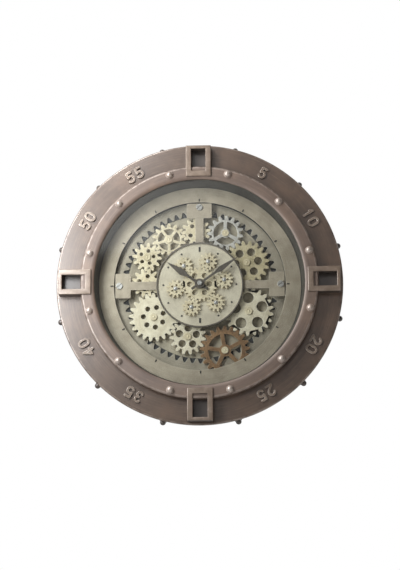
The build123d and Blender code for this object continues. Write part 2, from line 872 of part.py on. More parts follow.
# Sun wheel on a sleeve that turns on the movement's stem, driven by the centre wheel below the disc
sun_phase = 90.0
sleeve_back = plate_front + stem_nut_height + end_float
with BuildPart() as sun_gear:
    with BuildSketch(face_plane(sleeve_back)):
        Circle(sleeve_outer)
    extrude(amount=planet_front - sleeve_back)
    with BuildSketch(face_plane(planet_back)):
        add(gear_face(sun_teeth, planet_module, sun_phase, planet_backlash))
        count, land, rim = sun_windows
        pierce_round_windows(count, sleeve_outer + land, root_radius(sun_teeth, planet_module) - rim, 0)
    extrude(amount=planet_thickness)
    with BuildSketch(face_plane(sleeve_back)):
        Circle(stem_radius + running_fit)
    extrude(amount=planet_front - sleeve_back, mode=Mode.SUBTRACT)
save(sun_gear, "sun_gear")

with BuildPart() as centre_wheel:
    with BuildSketch(face_plane(gear_back)):
        add(gear_face(centre_wheel_teeth, gear_module, wheel_phase["centre_wheel"], gear_backlash))
        count, land, rim = centre_wheel_windows
        root = root_radius(centre_wheel_teeth, gear_module)
        pierce_round_windows(count, sleeve_outer + land, root - rim, 0)
        Circle(sleeve_outer + press_gap, mode=Mode.SUBTRACT)
    extrude(amount=gear_thickness)
save(centre_wheel, "centre_wheel")

# Planet wheels round the sun, on posts that stand on the disc
planet_directions = [planet_start + step * 360.0 / planet_count for step in range(planet_count)]
planet_places = [polar(planet_circle, math.radians(direction)) for direction in planet_directions]
with BuildPart() as planet_posts:
    with BuildSketch(face_plane(disc_front)):
        with Locations(*planet_places):
            Circle(planet_post_radius + planet_post_shoulder)
    extrude(amount=planet_lift - seat_gap)
    with BuildSketch(face_plane(planet_back - seat_gap)):
        with Locations(*planet_places):
            Circle(planet_post_radius)
    extrude(amount=planet_thickness + 2 * seat_gap)
    with BuildSketch(face_plane(planet_front + seat_gap)):
        with Locations(*planet_places):
            Circle(planet_cap_radius)
    extrude(amount=planet_cap_thickness)
save(planet_posts, "planet_posts")

for number, (direction, place) in enumerate(zip(planet_directions, planet_places), start=1):
    phase = meshed_phase(sun_phase, sun_teeth, direction, planet_teeth)
    with BuildPart() as planet:
        with BuildSketch(face_plane(planet_back, *place)):
            add(gear_face(planet_teeth, planet_module, phase, planet_backlash))
            count, land, rim = planet_windows
            root = root_radius(planet_teeth, planet_module)
            pierce_round_windows(count, planet_cap_radius + land, root - rim, 0)
            Circle(planet_post_radius + running_fit, mode=Mode.SUBTRACT)
        extrude(amount=planet_thickness)
    save(planet, f"planet_gear_{number}")

# Clock movement: housing with the threaded stem, gear chamber and battery bay open to the rear
movement_back = plate_back - movement_depth
bay_height = 2 * (cell_radius + cell_gap)
bay_middle = -movement_bottom + movement_wall + bay_height / 2
bay_depth = 2 * (cell_radius + cell_gap)
chamber_bottom = bay_middle + bay_height / 2 + movement_wall
chamber_top = movement_top - movement_wall
chamber_middle = (chamber_bottom + chamber_top) / 2
chamber_depth = movement_depth - movement_wall - press_gap
bush_front = planet_front + end_float
with BuildPart() as movement_case:
    with BuildSketch(face_plane(movement_back, 0, (movement_top - movement_bottom) / 2)):
        RectangleRounded(movement_width, movement_top + movement_bottom, movement_wall)
    extrude(amount=movement_depth)
    with BuildSketch(face_plane(plate_back)):
        Circle(stem_radius)
    extrude(amount=bush_front - plate_back)
    with BuildSketch(face_plane(movement_back, 0, chamber_middle)):
        Rectangle(movement_width - 2 * movement_wall, chamber_top - chamber_bottom)
    extrude(amount=chamber_depth, mode=Mode.SUBTRACT)
    with BuildSketch(face_plane(movement_back, 0, bay_middle)):
        Rectangle(cell_length + cell_cap_length + 2 * cell_gap, bay_height)
    extrude(amount=bay_depth, mode=Mode.SUBTRACT)
    with BuildSketch(face_plane(movement_back)):
        Circle(stem_bore)
    extrude(amount=bush_front - movement_back, mode=Mode.SUBTRACT)
save(movement_case, "movement_case")

with BuildPart() as movement_cover:
    with BuildSketch(face_plane(movement_back, 0, chamber_middle)):
        Rectangle(
            movement_width - 2 * (movement_wall + press_gap), chamber_top - chamber_bottom - 2 * press_gap
        )
        with Locations((0, motion_distance - chamber_middle)):
            Circle(set_stem_radius + running_fit, mode=Mode.SUBTRACT)
        with Locations((0, -chamber_middle)):
            Circle(minute_shaft_radius + running_fit, mode=Mode.SUBTRACT)
    extrude(amount=cover_thickness)
save(movement_cover, "movement_cover")

with BuildPart() as stem_nut:
    with BuildSketch(face_plane(plate_front)):
        RegularPolygon(stem_nut_radius, nut_sides)
        Circle(stem_radius + press_gap, mode=Mode.SUBTRACT)
    extrude(amount=stem_nut_height)
save(stem_nut, "stem_nut")

# Motion work: cannon pinion, minute wheel with its pinion, and hour wheel, at one centre distance
cannon_module = 2 * motion_distance / (cannon_teeth + minute_wheel_teeth)
hour_module = 2 * motion_distance / (motion_pinion_teeth + hour_wheel_teeth)
first_stage = movement_back + cover_thickness + motion_wheel_thickness
second_stage = first_stage + 2 * motion_wheel_thickness + end_float
minute_wheel_phase = meshed_phase(0.0, cannon_teeth, 90.0, minute_wheel_teeth)
hour_wheel_phase = meshed_phase(0.0, motion_pinion_teeth, -90.0, hour_wheel_teeth)
nut_front = minute_hand_front + hand_nut_height
hour_tube_outer = stem_bore - running_fit
with BuildPart() as minute_shaft:
    with BuildSketch(face_plane(movement_back)):
        Circle(minute_shaft_radius)
    extrude(amount=nut_front - movement_back)
    with BuildSketch(face_plane(first_stage)):
        add(gear_face(cannon_teeth, cannon_module, 0.0, motion_backlash))
    extrude(amount=2 * motion_wheel_thickness)
save(minute_shaft, "minute_shaft")

with BuildPart() as hour_tube:
    with BuildSketch(face_plane(second_stage)):
        Circle(hour_tube_outer)
    extrude(amount=hour_hand_front - second_stage)
    with BuildSketch(face_plane(second_stage)):
        add(gear_face(hour_wheel_teeth, hour_module, hour_wheel_phase, motion_backlash))
    extrude(amount=motion_wheel_thickness)
    with BuildSketch(face_plane(second_stage)):
        Circle(minute_shaft_radius + running_fit)
    extrude(amount=hour_hand_front - second_stage, mode=Mode.SUBTRACT)
save(hour_tube, "hour_tube")

knob_back = movement_back - end_float - knob_height
with BuildPart() as minute_wheel:
    with BuildSketch(face_plane(knob_back, 0, motion_distance)):
        Circle(set_stem_radius)
    extrude(amount=second_stage + 2 * motion_wheel_thickness - knob_back)
    with BuildSketch(face_plane(first_stage, 0, motion_distance)):
        add(gear_face(minute_wheel_teeth, cannon_module, minute_wheel_phase, motion_backlash))
    extrude(amount=motion_wheel_thickness)
    with BuildSketch(face_plane(second_stage, 0, motion_distance)):
        add(gear_face(motion_pinion_teeth, hour_module, 0.0, motion_backlash))
    extrude(amount=2 * motion_wheel_thickness)
save(minute_wheel, "minute_wheel")

with BuildPart() as set_knob:
    with BuildSketch(face_plane(knob_back, 0, motion_distance)):
        Circle(knob_radius)
        Circle(set_stem_radius + press_gap, mode=Mode.SUBTRACT)
        with PolarLocations(knob_radius, knob_grooves):
            Circle(knob_groove_radius, mode=Mode.SUBTRACT)
    extrude(amount=knob_height)
save(set_knob, "set_knob")


def cell_section(length):
    """Half section of a dry cell lying along the sketch's x axis from its flat end."""
    with BuildSketch() as section:
        with BuildLine():
            Polyline(
                (0, 0),
                (length, 0),
                (length, cell_cap_radius),
                (length - cell_cap_length, cell_cap_radius),
                (length - cell_cap_length, cell_radius),
                (0, cell_radius),
                close=True,
            )
        make_face()
    return section.sketch


cell_depth = movement_back + cell_radius + cell_gap
with BuildPart() as clock_cell:
    with BuildSketch(face_plane(cell_depth, -(cell_length + cell_cap_length) / 2, bay_middle)):
        add(cell_section(cell_length + cell_cap_length))
    revolve(axis=Axis((0, -cell_depth, bay_middle), (1, 0, 0)))
save(clock_cell, "clock_cell")


def hand_face(length, neck, shoulder, blade):
    """Spear hand pointing along the sketch's y axis: neck width, blade start and blade width."""
    with BuildSketch() as face:
        Circle(hand_hub_radius)
        with BuildLine():
            Polyline(
                (-neck / 2, -2 * hand_hub_radius),
                (neck / 2, -2 * hand_hub_radius),
                (neck / 2, shoulder),
                (blade / 2, shoulder + blade),
                (0, length),
                (-blade / 2, shoulder + blade),
                (-neck / 2, shoulder),
                close=True,
            )
        make_face()
    return face.sketch


# Hands and the nut that holds them
with BuildPart() as hour_hand:
    with BuildSketch(clock_plane(hour_hand_back, hour_angle)):
        add(hand_face(hour_length, hour_neck, hour_shoulder, hour_blade))
        Circle(hour_tube_outer + press_gap, mode=Mode.SUBTRACT)
    extrude(amount=hand_thickness)
save(hour_hand, "hour_hand")

with BuildPart() as minute_hand:
    with BuildSketch(clock_plane(minute_hand_back, minute_angle)):
        add(hand_face(minute_length, minute_neck, minute_shoulder, minute_blade))
        Circle(minute_shaft_radius + press_gap, mode=Mode.SUBTRACT)
    extrude(amount=hand_thickness)
save(minute_hand, "minute_hand")

with BuildPart() as hand_nut:
    with BuildSketch(face_plane(minute_hand_front)):
        RegularPolygon(hand_nut_radius, nut_sides)
        Circle(minute_shaft_radius + press_gap, mode=Mode.SUBTRACT)
    extrude(amount=hand_nut_height)
save(hand_nut, "hand_nut")

# Gear motor under the plate, its ears screwed to the plate from behind
with BuildPart() as gear_motor:
    with BuildSketch(face_plane(motor_back, motor_x, motor_z)):
        Circle(motor_radius)
    extrude(amount=motor_depth)
    with BuildSketch(face_plane(plate_back, motor_x, motor_z)):
        SlotCenterToCenter(2 * motor_ear_reach, motor_ear_width)
        with Locations((-motor_ear_reach, 0), (motor_ear_reach, 0)):
            Circle(motor_screw_radius + running_fit, mode=Mode.SUBTRACT)
    extrude(amount=-motor_ear_sheet)
    with BuildSketch(face_plane(shaft_back - end_float, motor_x, motor_z)):
        Circle(motor_shaft_radius + running_fit)
    extrude(amount=plate_back - shaft_back + end_float, mode=Mode.SUBTRACT)
save(gear_motor, "gear_motor")

ear_back = plate_back - motor_ear_sheet
with BuildPart() as motor_screws:
    with BuildSketch(face_plane(ear_back, motor_x, motor_z)):
        with Locations((-motor_ear_reach, 0), (motor_ear_reach, 0)):
            Circle(motor_screw_head)
    extrude(amount=-motor_screw_height)
    with BuildSketch(face_plane(ear_back, motor_x, motor_z)):
        with Locations((-motor_ear_reach, 0), (motor_ear_reach, 0)):
            Circle(motor_screw_radius)
    extrude(amount=motor_ear_sheet + plate_thickness)
save(motor_screws, "motor_screws")

# Open battery tray for two cells, with the switch block beside it
tray_back = plate_back - tray_depth
cell_pitch = 2 * (cell_radius + cell_gap)
tray_height = 2 * cell_pitch + 2 * tray_wall
tray_x = tray_left + tray_length / 2
tray_z = tray_bottom + tray_height / 2
switch_x = tray_left + tray_length + switch_block / 2
cavity_depth = tray_depth - tray_wall
with BuildPart() as battery_tray:
    with BuildSketch(face_plane(tray_back, tray_x + switch_block / 2, tray_z)):
        Rectangle(tray_length + switch_block, tray_height)
    extrude(amount=tray_depth)
    with BuildSketch(face_plane(tray_back, tray_x, tray_z)):
        Rectangle(tray_length - 2 * tray_wall, tray_height - 2 * tray_wall)
    extrude(amount=cavity_depth, mode=Mode.SUBTRACT)
    with BuildSketch(face_plane(tray_back, switch_x, tray_z)):
        Rectangle(switch_slot_width, switch_slot_length)
    extrude(amount=switch_slot_depth, mode=Mode.SUBTRACT)
save(battery_tray, "battery_tray")

tray_cell_depth = tray_back + cavity_depth - cell_radius
with BuildPart() as drive_cells:
    for row in (-0.5, 0.5):
        row_z = tray_z + row * cell_pitch
        with BuildSketch(face_plane(tray_cell_depth, tray_x - (cell_length + cell_cap_length) / 2, row_z)):
            add(cell_section(cell_length + cell_cap_length))
        revolve(axis=Axis((0, -tray_cell_depth, row_z), (1, 0, 0)))
save(drive_cells, "drive_cells")

switch_rest_z = tray_z - (switch_slot_length - switch_slider_length) / 2 + seat_gap
slider_back = tray_back - switch_slider_rise
with BuildPart() as switch_slider:
    with BuildSketch(face_plane(slider_back, switch_x, switch_rest_z)):
        Rectangle(switch_slot_width - 2 * seat_gap, switch_slider_length)
    extrude(amount=switch_slider_rise + switch_slot_depth - seat_gap)
save(switch_slider, "switch_slider")

# Two leads from the switch block to the side of the motor
lead_depth = plate_back - lead_height
with BuildPart() as motor_leads:
    for row in (-0.5, 0.5):
        lead_x = switch_x + row * lead_spacing
        lead_z = motor_z + row * lead_spacing
        lead_start = (lead_x, -lead_depth, tray_bottom)
        with BuildLine() as lead_path:
            FilletPolyline(
                lead_start,
                (lead_x, -lead_depth, lead_z),
                (motor_x - motor_radius - press_gap, -lead_depth, lead_z),
                radius=lead_bend,
            )
        with BuildSketch(Plane(origin=lead_start, x_dir=(1, 0, 0), z_dir=(0, 0, -1))):
            Circle(lead_radius)
        sweep(path=lead_path.line)
save(motor_leads, "motor_leads")
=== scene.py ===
import json
import math

import bmesh
import bpy
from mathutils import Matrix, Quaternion, Vector


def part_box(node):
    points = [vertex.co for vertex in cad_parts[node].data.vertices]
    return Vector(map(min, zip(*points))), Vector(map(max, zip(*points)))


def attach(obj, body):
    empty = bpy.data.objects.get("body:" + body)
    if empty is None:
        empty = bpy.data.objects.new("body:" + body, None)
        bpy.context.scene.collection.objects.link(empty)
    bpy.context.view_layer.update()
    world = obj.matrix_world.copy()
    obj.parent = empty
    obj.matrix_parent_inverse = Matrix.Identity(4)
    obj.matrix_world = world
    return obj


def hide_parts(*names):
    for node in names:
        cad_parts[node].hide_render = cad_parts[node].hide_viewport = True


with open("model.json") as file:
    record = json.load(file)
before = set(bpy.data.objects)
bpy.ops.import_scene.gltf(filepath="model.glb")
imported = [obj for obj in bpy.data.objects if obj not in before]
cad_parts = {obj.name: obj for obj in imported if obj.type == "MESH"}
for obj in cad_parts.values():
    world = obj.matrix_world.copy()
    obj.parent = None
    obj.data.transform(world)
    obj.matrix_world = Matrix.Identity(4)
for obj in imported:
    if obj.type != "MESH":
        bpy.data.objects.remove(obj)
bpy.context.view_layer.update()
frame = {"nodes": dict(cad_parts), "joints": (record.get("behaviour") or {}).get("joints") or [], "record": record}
scene = bpy.context.scene
scene.view_settings.view_transform = "Standard"
mm = 0.001
record = frame["record"]
bodyOf = {node: body for body, nodes in record["behaviour"]["bodies"].items() for node in nodes}
print("frame loaded:", len(frame["nodes"]), "nodes")


# node trees written as expressions
class Wire:
    def __init__(self, tree, socket=None):
        self.tree = tree
        self.socket = socket

    def node(self, kind, settings=None, links=None, out=0):
        made = self.tree.nodes.new(kind)
        for key, value in (settings or {}).items():
            setattr(made, key, value)
        for key, value in (links or {}).items():
            if isinstance(value, Wire):
                self.tree.links.new(value.socket, made.inputs[key])
            else:
                made.inputs[key].default_value = value
        return Wire(self.tree, made.outputs[out]) if len(made.outputs) else made

    def outs(self, *keys):   # other outputs of the node that this wire leaves
        return [Wire(self.tree, self.socket.node.outputs[key]) for key in keys]

    def axes(self):   # a vector's three numbers
        return self.node("ShaderNodeSeparateXYZ", None, {0: self}).outs(0, 1, 2)

    def maths(self, operation, *others):   # this wire is the first value
        return self.node("ShaderNodeMath", {"operation": operation}, dict(enumerate((self, *others))))

    def __add__(self, other):
        return self.maths("ADD", other)

    def __sub__(self, other):
        return self.maths("SUBTRACT", other)

    def __mul__(self, other):
        return self.maths("MULTIPLY", other)

    def __truediv__(self, other):
        return self.maths("DIVIDE", other)

    def __rsub__(self, other):
        return self.node("ShaderNodeMath", {"operation": "SUBTRACT"}, {0: other, 1: self})

    def __rtruediv__(self, other):
        return self.node("ShaderNodeMath", {"operation": "DIVIDE"}, {0: other, 1: self})

    def __neg__(self):
        return 0.0 - self

    __radd__ = __add__
    __rmul__ = __mul__

    def smooth(self, low, high):   # 0 below low, 1 above high
        return self.node("ShaderNodeMapRange", {"interpolation_type": "SMOOTHSTEP"},
                         {"Value": self, "From Min": low, "From Max": high})

    def blend(self, *colours):   # mix of two colours with this wire as the factor
        first, second = (tone if isinstance(tone, Wire) else (*tone, 1.0) for tone in colours)
        return self.node("ShaderNodeMix", {"data_type": "RGBA"}, {0: self, 6: first, 7: second}, out=2)

    def noise(self, scale, detail, rough):   # this wire is the place
        return self.node("ShaderNodeTexNoise", None,
                         {"Vector": self, "Scale": scale, "Detail": detail, "Roughness": rough})


class Finish:   # one material, its shader and the coordinates that its patterns use
    def __init__(self, name):
        self.material = bpy.data.materials.new(name)
        self.material.use_nodes = True
        tree = self.material.node_tree
        tree.nodes.clear()
        self.wire = Wire(tree)
        self.place = self.wire.node("ShaderNodeTexCoord", out="Object")
        self.x, self.y, self.z = self.place.axes()
        self.rubbed = self.wire.node("ShaderNodeAttribute", {"attribute_name": "rubbed"}, out="Fac")

    def roundDial(self, centre=(0.0, 0.0)):   # radius and a direction that has no seam
        x = self.x - centre[0]
        z = self.z - centre[1]
        radius = (x * x + z * z).maths("SQRT")
        return radius, x / radius, z / radius

    def turned(self, lines, around, centre=(0.0, 0.0)):   # fine lathe lines round an axis
        radius, east, north = self.roundDial(centre)
        track = self.wire.node("ShaderNodeCombineXYZ", None,
                               {0: radius * lines, 1: east * around, 2: north * around})
        return track.noise(1.0, 4.0, 0.65)

    def bump(self, height, strength, distance):
        return self.wire.node("ShaderNodeBump", None,
                              {"Height": height, "Strength": strength, "Distance": distance})

    def close(self, **sockets):   # principled shader and output
        names = {"colour": "Base Color", "rough": "Roughness", "metal": "Metallic", "normal": "Normal",
                 "ior": "IOR"}
        links = {names[key]: value for key, value in sockets.items()}
        shader = self.wire.node("ShaderNodeBsdfPrincipled", None, links)
        self.wire.node("ShaderNodeOutputMaterial", None, {0: shader})
        return self.material


# finishes: patterns are (scale, detail, roughness), bumps (strength, distance)
# the flange look carries one painted shade colour, used in the lug windows
bronzeLook = {"dark": (0.082, 0.046, 0.027), "mid": (0.152, 0.091, 0.056), "pale": (0.27, 0.186, 0.132),
              "rub": (0.38, 0.29, 0.235), "stain": (0.180, 0.104, 0.062), "metal": 0.22, "rough": 0.27,
              "brush": 1.0, "recess": (0.045, 0.036, 0.031)}
bezelLook = {"dark": (0.118, 0.069, 0.045), "mid": (0.200, 0.125, 0.084), "pale": (0.32, 0.235, 0.18),
             "rub": (0.40, 0.31, 0.255), "stain": (0.245, 0.150, 0.095), "metal": 0.22, "rough": 0.44,
             "brush": 1.0}
paleLook = {"dark": (0.42, 0.33, 0.275), "mid": (0.66, 0.545, 0.47), "pale": (0.80, 0.70, 0.62),
            "rub": (0.86, 0.79, 0.72), "stain": (0.50, 0.37, 0.29), "metal": 0.30, "rough": 0.24,
            "brush": 0.3}
# the lug look carries a painted shade colour for the side faces of lugs and numerals
lugLook = {"dark": (0.195, 0.130, 0.088), "mid": (0.350, 0.256, 0.188), "pale": (0.48, 0.38, 0.30),
           "rub": (0.74, 0.65, 0.56), "stain": (0.285, 0.180, 0.110), "metal": 0.25, "rough": 0.26,
           "brush": 0.25, "walls": (0.030, 0.020, 0.015)}
boltLook = {"dark": (0.060, 0.042, 0.034), "mid": (0.120, 0.086, 0.068), "pale": (0.20, 0.155, 0.130),
            "rub": (0.40, 0.33, 0.285), "stain": (0.085, 0.055, 0.038), "metal": 0.30, "rough": 0.34,
            "brush": 0.2}
# one range of this grain sets which side faces the painted shade covers
bronzeGrain = {"streaks": (700.0, 4.0), "clouds": (22.0, 4.0, 0.55), "grain": (650.0, 2.0, 0.5),
               "patches": (75.0, 4.0, 0.65), "stains": (11.0, 5.0, 0.6), "toneRange": (0.33, 0.66),
               "paleRange": (0.52, 0.80), "stainRange": (0.50, 0.68), "wornRange": (0.32, 0.60),
               "wallRange": (0.30, 0.75), "ior": 2.2, "bump": (0.20, 0.0004)}
# where the painted shade of the lug windows lies on the flange
windowShadeSet = {"nearest": 0.205, "farthest": 0.249, "half": 0.0135, "front": 0.0615, "fade": 0.002}


def lugWindowShade(finish, s):   # painted shade mask: 1 on the flange's front in the lug windows, at four places round it
    east = finish.x.maths("ABSOLUTE")
    north = finish.z.maths("ABSOLUTE")
    reach = east.maths("MAXIMUM", north)
    aside = east.maths("MINIMUM", north)
    fade = s["fade"]
    inside = reach.smooth(s["nearest"] - fade, s["nearest"])
    inside = inside * (1 - reach.smooth(s["farthest"], s["farthest"] + fade))
    return inside * (1 - aside.smooth(s["half"], s["half"] + fade)) * (-finish.y).smooth(
        s["front"] - fade / 2, s["front"])


def antiqueBronze(name, look):   # brushed paint with faint dark clouds and bright rubbed edges, plus painted shade in the lug windows and on side faces where the look asks for it
    finish = Finish(name)
    place, s = finish.place, bronzeGrain
    patches = place.noise(*s["patches"])
    brush = look["brush"]
    marks = finish.turned(*s["streaks"]) * (0.75 * brush) + patches * (0.75 * (1 - brush) + 0.25)
    tone = (place.noise(*s["clouds"]) * 0.45 + marks * 0.55).smooth(*s["toneRange"])
    colour = tone.blend(look["dark"], look["mid"])
    colour = (marks.smooth(*s["paleRange"]) * 0.6).blend(colour, look["pale"])
    stained = place.noise(*s["stains"]).smooth(*s["stainRange"])
    colour = (stained * 0.55).blend(colour, look["stain"])
    if "recess" in look:   # painted shade: the flange's front is darkened inside the lug windows, where the lug frames shade it
        colour = (lugWindowShade(finish, windowShadeSet) * 0.75).blend(colour, look["recess"])
    if "walls" in look:   # painted shade: faces turned away from the front, the side faces of lugs and numerals, are darkened
        facing = finish.wire.node("ShaderNodeNewGeometry", out="Normal").axes()[1]
        front = facing.maths("ABSOLUTE").smooth(*s["wallRange"])
        colour = (0.85 - 0.85 * front).blend(colour, look["walls"])
    worn = finish.rubbed * patches.smooth(*s["wornRange"])
    colour = (worn * 0.8).blend(colour, look["rub"])
    height = marks * 0.6 + place.noise(*s["grain"]) * 0.4
    return finish.close(colour=colour, rough=look["rough"] + 0.16 * marks - 0.08 * worn,
                        metal=look["metal"], ior=s["ior"], normal=finish.bump(height, *s["bump"]))


champagneLook = {"low": (0.365, 0.309, 0.232), "high": (0.53, 0.461, 0.356), "rub": (0.68, 0.62, 0.51),
                 "lines": (1400.0, 2.0), "metal": 0.25, "rough": 0.42}
discLook = {"low": (0.57, 0.513, 0.395), "high": (0.765, 0.704, 0.557), "rub": (0.30, 0.27, 0.22),
            "lines": (2000.0, 2.0), "metal": 0.25, "rough": 0.42,
            "rim": {"radius": 0.0763, "front": 0.0385, "tone": (0.115, 0.098, 0.080)}}
# painted shade: the liner's colour is kept near black, darker than its own paint, so that it gives the shade
# inside the bezel's mouth
linerShadeLook = {"low": (0.034, 0.033, 0.031), "high": (0.078, 0.075, 0.069), "rub": (0.22, 0.21, 0.19),
             "lines": (30.0, 60.0), "metal": 0.2, "rough": 0.40}
plateLook = {"low": (0.30, 0.265, 0.200), "high": (0.53, 0.475, 0.360), "rub": (0.58, 0.53, 0.43),
             "lines": (900.0, 3.0), "metal": 0.2, "rough": 0.5,
             "rim": {"radius": 0.1330, "front": 0.0258, "tone": (0.040, 0.040, 0.040)}}
ringLook = {"low": (0.29, 0.255, 0.195), "high": (0.47, 0.42, 0.33), "rub": (0.58, 0.56, 0.48),
            "lines": (1400.0, 2.0), "metal": 0.3, "rough": 0.42}
steelLook = {"low": (0.36, 0.355, 0.34), "high": (0.60, 0.59, 0.565), "rub": (0.8, 0.79, 0.77),
             "lines": (900.0, 6.0), "metal": 0.85, "rough": 0.34}
satinGrain = {"clouds": (34.0, 4.0, 0.6), "specks": (420.0, 2.0, 0.5), "toneRange": (0.33, 0.65),
              "speckRange": (0.66, 0.74), "rimFade": (0.0004, 0.0005), "bump": (0.16, 0.0003)}


def satinDial(name, look):   # satin sheet with fine turned lines and faint cloudy tarnish
    finish = Finish(name)
    place, s = finish.place, satinGrain
    lines = finish.turned(*look["lines"])
    tone = (place.noise(*s["clouds"]) * 0.6 + lines * 0.4).smooth(*s["toneRange"])
    colour = tone.blend(look["low"], look["high"])
    specks = place.noise(*s["specks"]).smooth(*s["speckRange"])
    colour = (specks * 0.5).blend(colour, look["low"])
    if "rim" in look:   # toned dark on the front, outside a radius
        start, front = look["rim"]["radius"], look["rim"]["front"]
        outward, forward = s["rimFade"]
        toned = finish.roundDial()[0].smooth(start, start + outward)
        toned = toned * (-finish.y).smooth(front - forward, front)
        colour = toned.blend(colour, look["rim"]["tone"])
    colour = (finish.rubbed * 0.7).blend(colour, look["rub"])
    return finish.close(colour=colour, rough=look["rough"] + 0.16 * lines, metal=look["metal"],
                        normal=finish.bump(lines, *s["bump"]))


brassLook = {"low": (0.60, 0.51, 0.33), "high": (0.88, 0.79, 0.57), "rub": (0.98, 0.93, 0.78),
             "tarnish": (0.32, 0.25, 0.15), "metal": 0.35, "rough": 0.36}
creamLook = {"low": (0.66, 0.58, 0.41), "high": (0.92, 0.85, 0.66), "rub": (0.98, 0.95, 0.84),
             "tarnish": (0.38, 0.31, 0.20), "metal": 0.35, "rough": 0.36}
oliveLook = {"low": (0.43, 0.37, 0.22), "high": (0.71, 0.62, 0.40), "rub": (0.82, 0.75, 0.54),
             "tarnish": (0.19, 0.15, 0.08), "metal": 0.40, "rough": 0.38}
copperLook = {"low": (0.160, 0.088, 0.044), "high": (0.360, 0.220, 0.115), "rub": (0.54, 0.38, 0.24),
              "tarnish": (0.045, 0.028, 0.016), "metal": 0.55, "rough": 0.36}
silverLook = {"low": (0.46, 0.45, 0.41), "high": (0.72, 0.70, 0.65), "rub": (0.90, 0.89, 0.85),
              "tarnish": (0.24, 0.23, 0.20), "metal": 0.70, "rough": 0.34}
wheelGrain = {"lines": (2400.0, 2.5), "clouds": (60.0, 4.0, 0.6), "stains": (130.0, 4.0, 0.7),
              "toneRange": (0.32, 0.62), "stainRange": (0.60, 0.78), "bump": (0.18, 0.00025)}


def gearMetal(name, look, centre):   # lathe-turned wheel: lines round its own post, tarnish in patches
    finish = Finish(name)
    place, s = finish.place, wheelGrain
    lines = finish.turned(*s["lines"], centre)
    stains = place.noise(*s["stains"]).smooth(*s["stainRange"])
    tone = (place.noise(*s["clouds"]) * 0.5 + lines * 0.5).smooth(*s["toneRange"])
    colour = tone.blend(look["low"], look["high"])
    colour = (stains * 0.6).blend(colour, look["tarnish"])
    colour = (finish.rubbed * 0.8).blend(colour, look["rub"])
    return finish.close(colour=colour, rough=look["rough"] + 0.16 * lines + 0.15 * stains,
                        metal=look["metal"], normal=finish.bump(lines, *s["bump"]))


paintLook = {"low": (0.030, 0.027, 0.025), "high": (0.075, 0.068, 0.062), "rough": 0.34, "grain": 600.0}
handLook = {"low": (0.070, 0.060, 0.049), "high": (0.145, 0.128, 0.106), "rough": 0.36, "grain": 600.0}
plasticLook = {"low": (0.016, 0.016, 0.017), "high": (0.040, 0.040, 0.042), "rough": 0.46, "grain": 900.0}
whiteLook = {"low": (0.66, 0.655, 0.62), "high": (0.80, 0.795, 0.76), "rough": 0.42, "grain": 900.0}
rubberLook = {"low": (0.012, 0.012, 0.012), "high": (0.030, 0.030, 0.030), "rough": 0.72, "grain": 500.0}
redLook = {"low": (0.26, 0.02, 0.018), "high": (0.38, 0.035, 0.03), "rough": 0.4, "grain": 500.0}
mouldedGrain = {"clouds": (45.0, 3.0, 0.5), "toneRange": (0.3, 0.7), "bump": (0.25, 0.0002),
                "darkBelow": 0.3, "lift": 3}


def moulded(name, look):   # fine moulded or sprayed grain, dark colours paler on their edges
    finish = Finish(name)
    place, s = finish.place, mouldedGrain
    grain = place.noise(look["grain"], 2.0, 0.5)
    tone = (place.noise(*s["clouds"]) * 0.7 + grain * 0.3).smooth(*s["toneRange"])
    rub = tuple(s["lift"] * v if v < s["darkBelow"] else v for v in look["high"])
    colour = (finish.rubbed * 0.25).blend(tone.blend(look["low"], look["high"]), rub)
    return finish.close(colour=colour, rough=look["rough"] + 0.2 * (grain - 0.5),
                        normal=finish.bump(grain, *s["bump"]))


cellLook = {"jacket": (0.030, 0.032, 0.034), "band": (0.45, 0.27, 0.13), "tin": (0.62, 0.61, 0.58),
            "rough": 0.30, "scuffs": (240.0, 3.0, 0.6), "scuffRange": (0.6, 0.75), "bump": (0.1, 0.0001),
            "bandFrom": (0.0165, 0.0160), "capFrom": (0.0022, 0.0020), "footTo": (0.0006, 0.0008)}


def cellJacket(name, left, right):   # dark sleeve with a copper-coloured band near the cap, tin ends
    finish = Finish(name)
    x, s = finish.x, cellLook
    scuffs = finish.place.noise(*s["scuffs"])
    band = x.smooth(*(right - v for v in s["bandFrom"]))
    foot = 1 - x.smooth(*(left + v for v in s["footTo"]))
    ends = x.smooth(*(right - v for v in s["capFrom"])) + foot
    colour = band.blend(s["jacket"], s["band"])
    colour = (scuffs.smooth(*s["scuffRange"]) * 0.2).blend(colour, s["tin"])
    colour = ends.blend(colour, s["tin"])
    return finish.close(colour=colour, rough=s["rough"] + 0.2 * scuffs, metal=ends * 0.9,
                        normal=finish.bump(scuffs, *s["bump"]))


paneLook = {"clear": (0.965, 0.970, 0.962, 1.0), "sheen": (0.84, 0.84, 0.83, 1.0), "sheenRough": 0.04,
            "film": (0.8, 0.79, 0.75, 1.0), "filmRough": 0.7, "dust": (18.0, 5.0, 0.7),
            "dustRange": (0.45, 0.8), "dustShare": 0.05, "straightSheen": 0.04, "slantPower": 5.0}


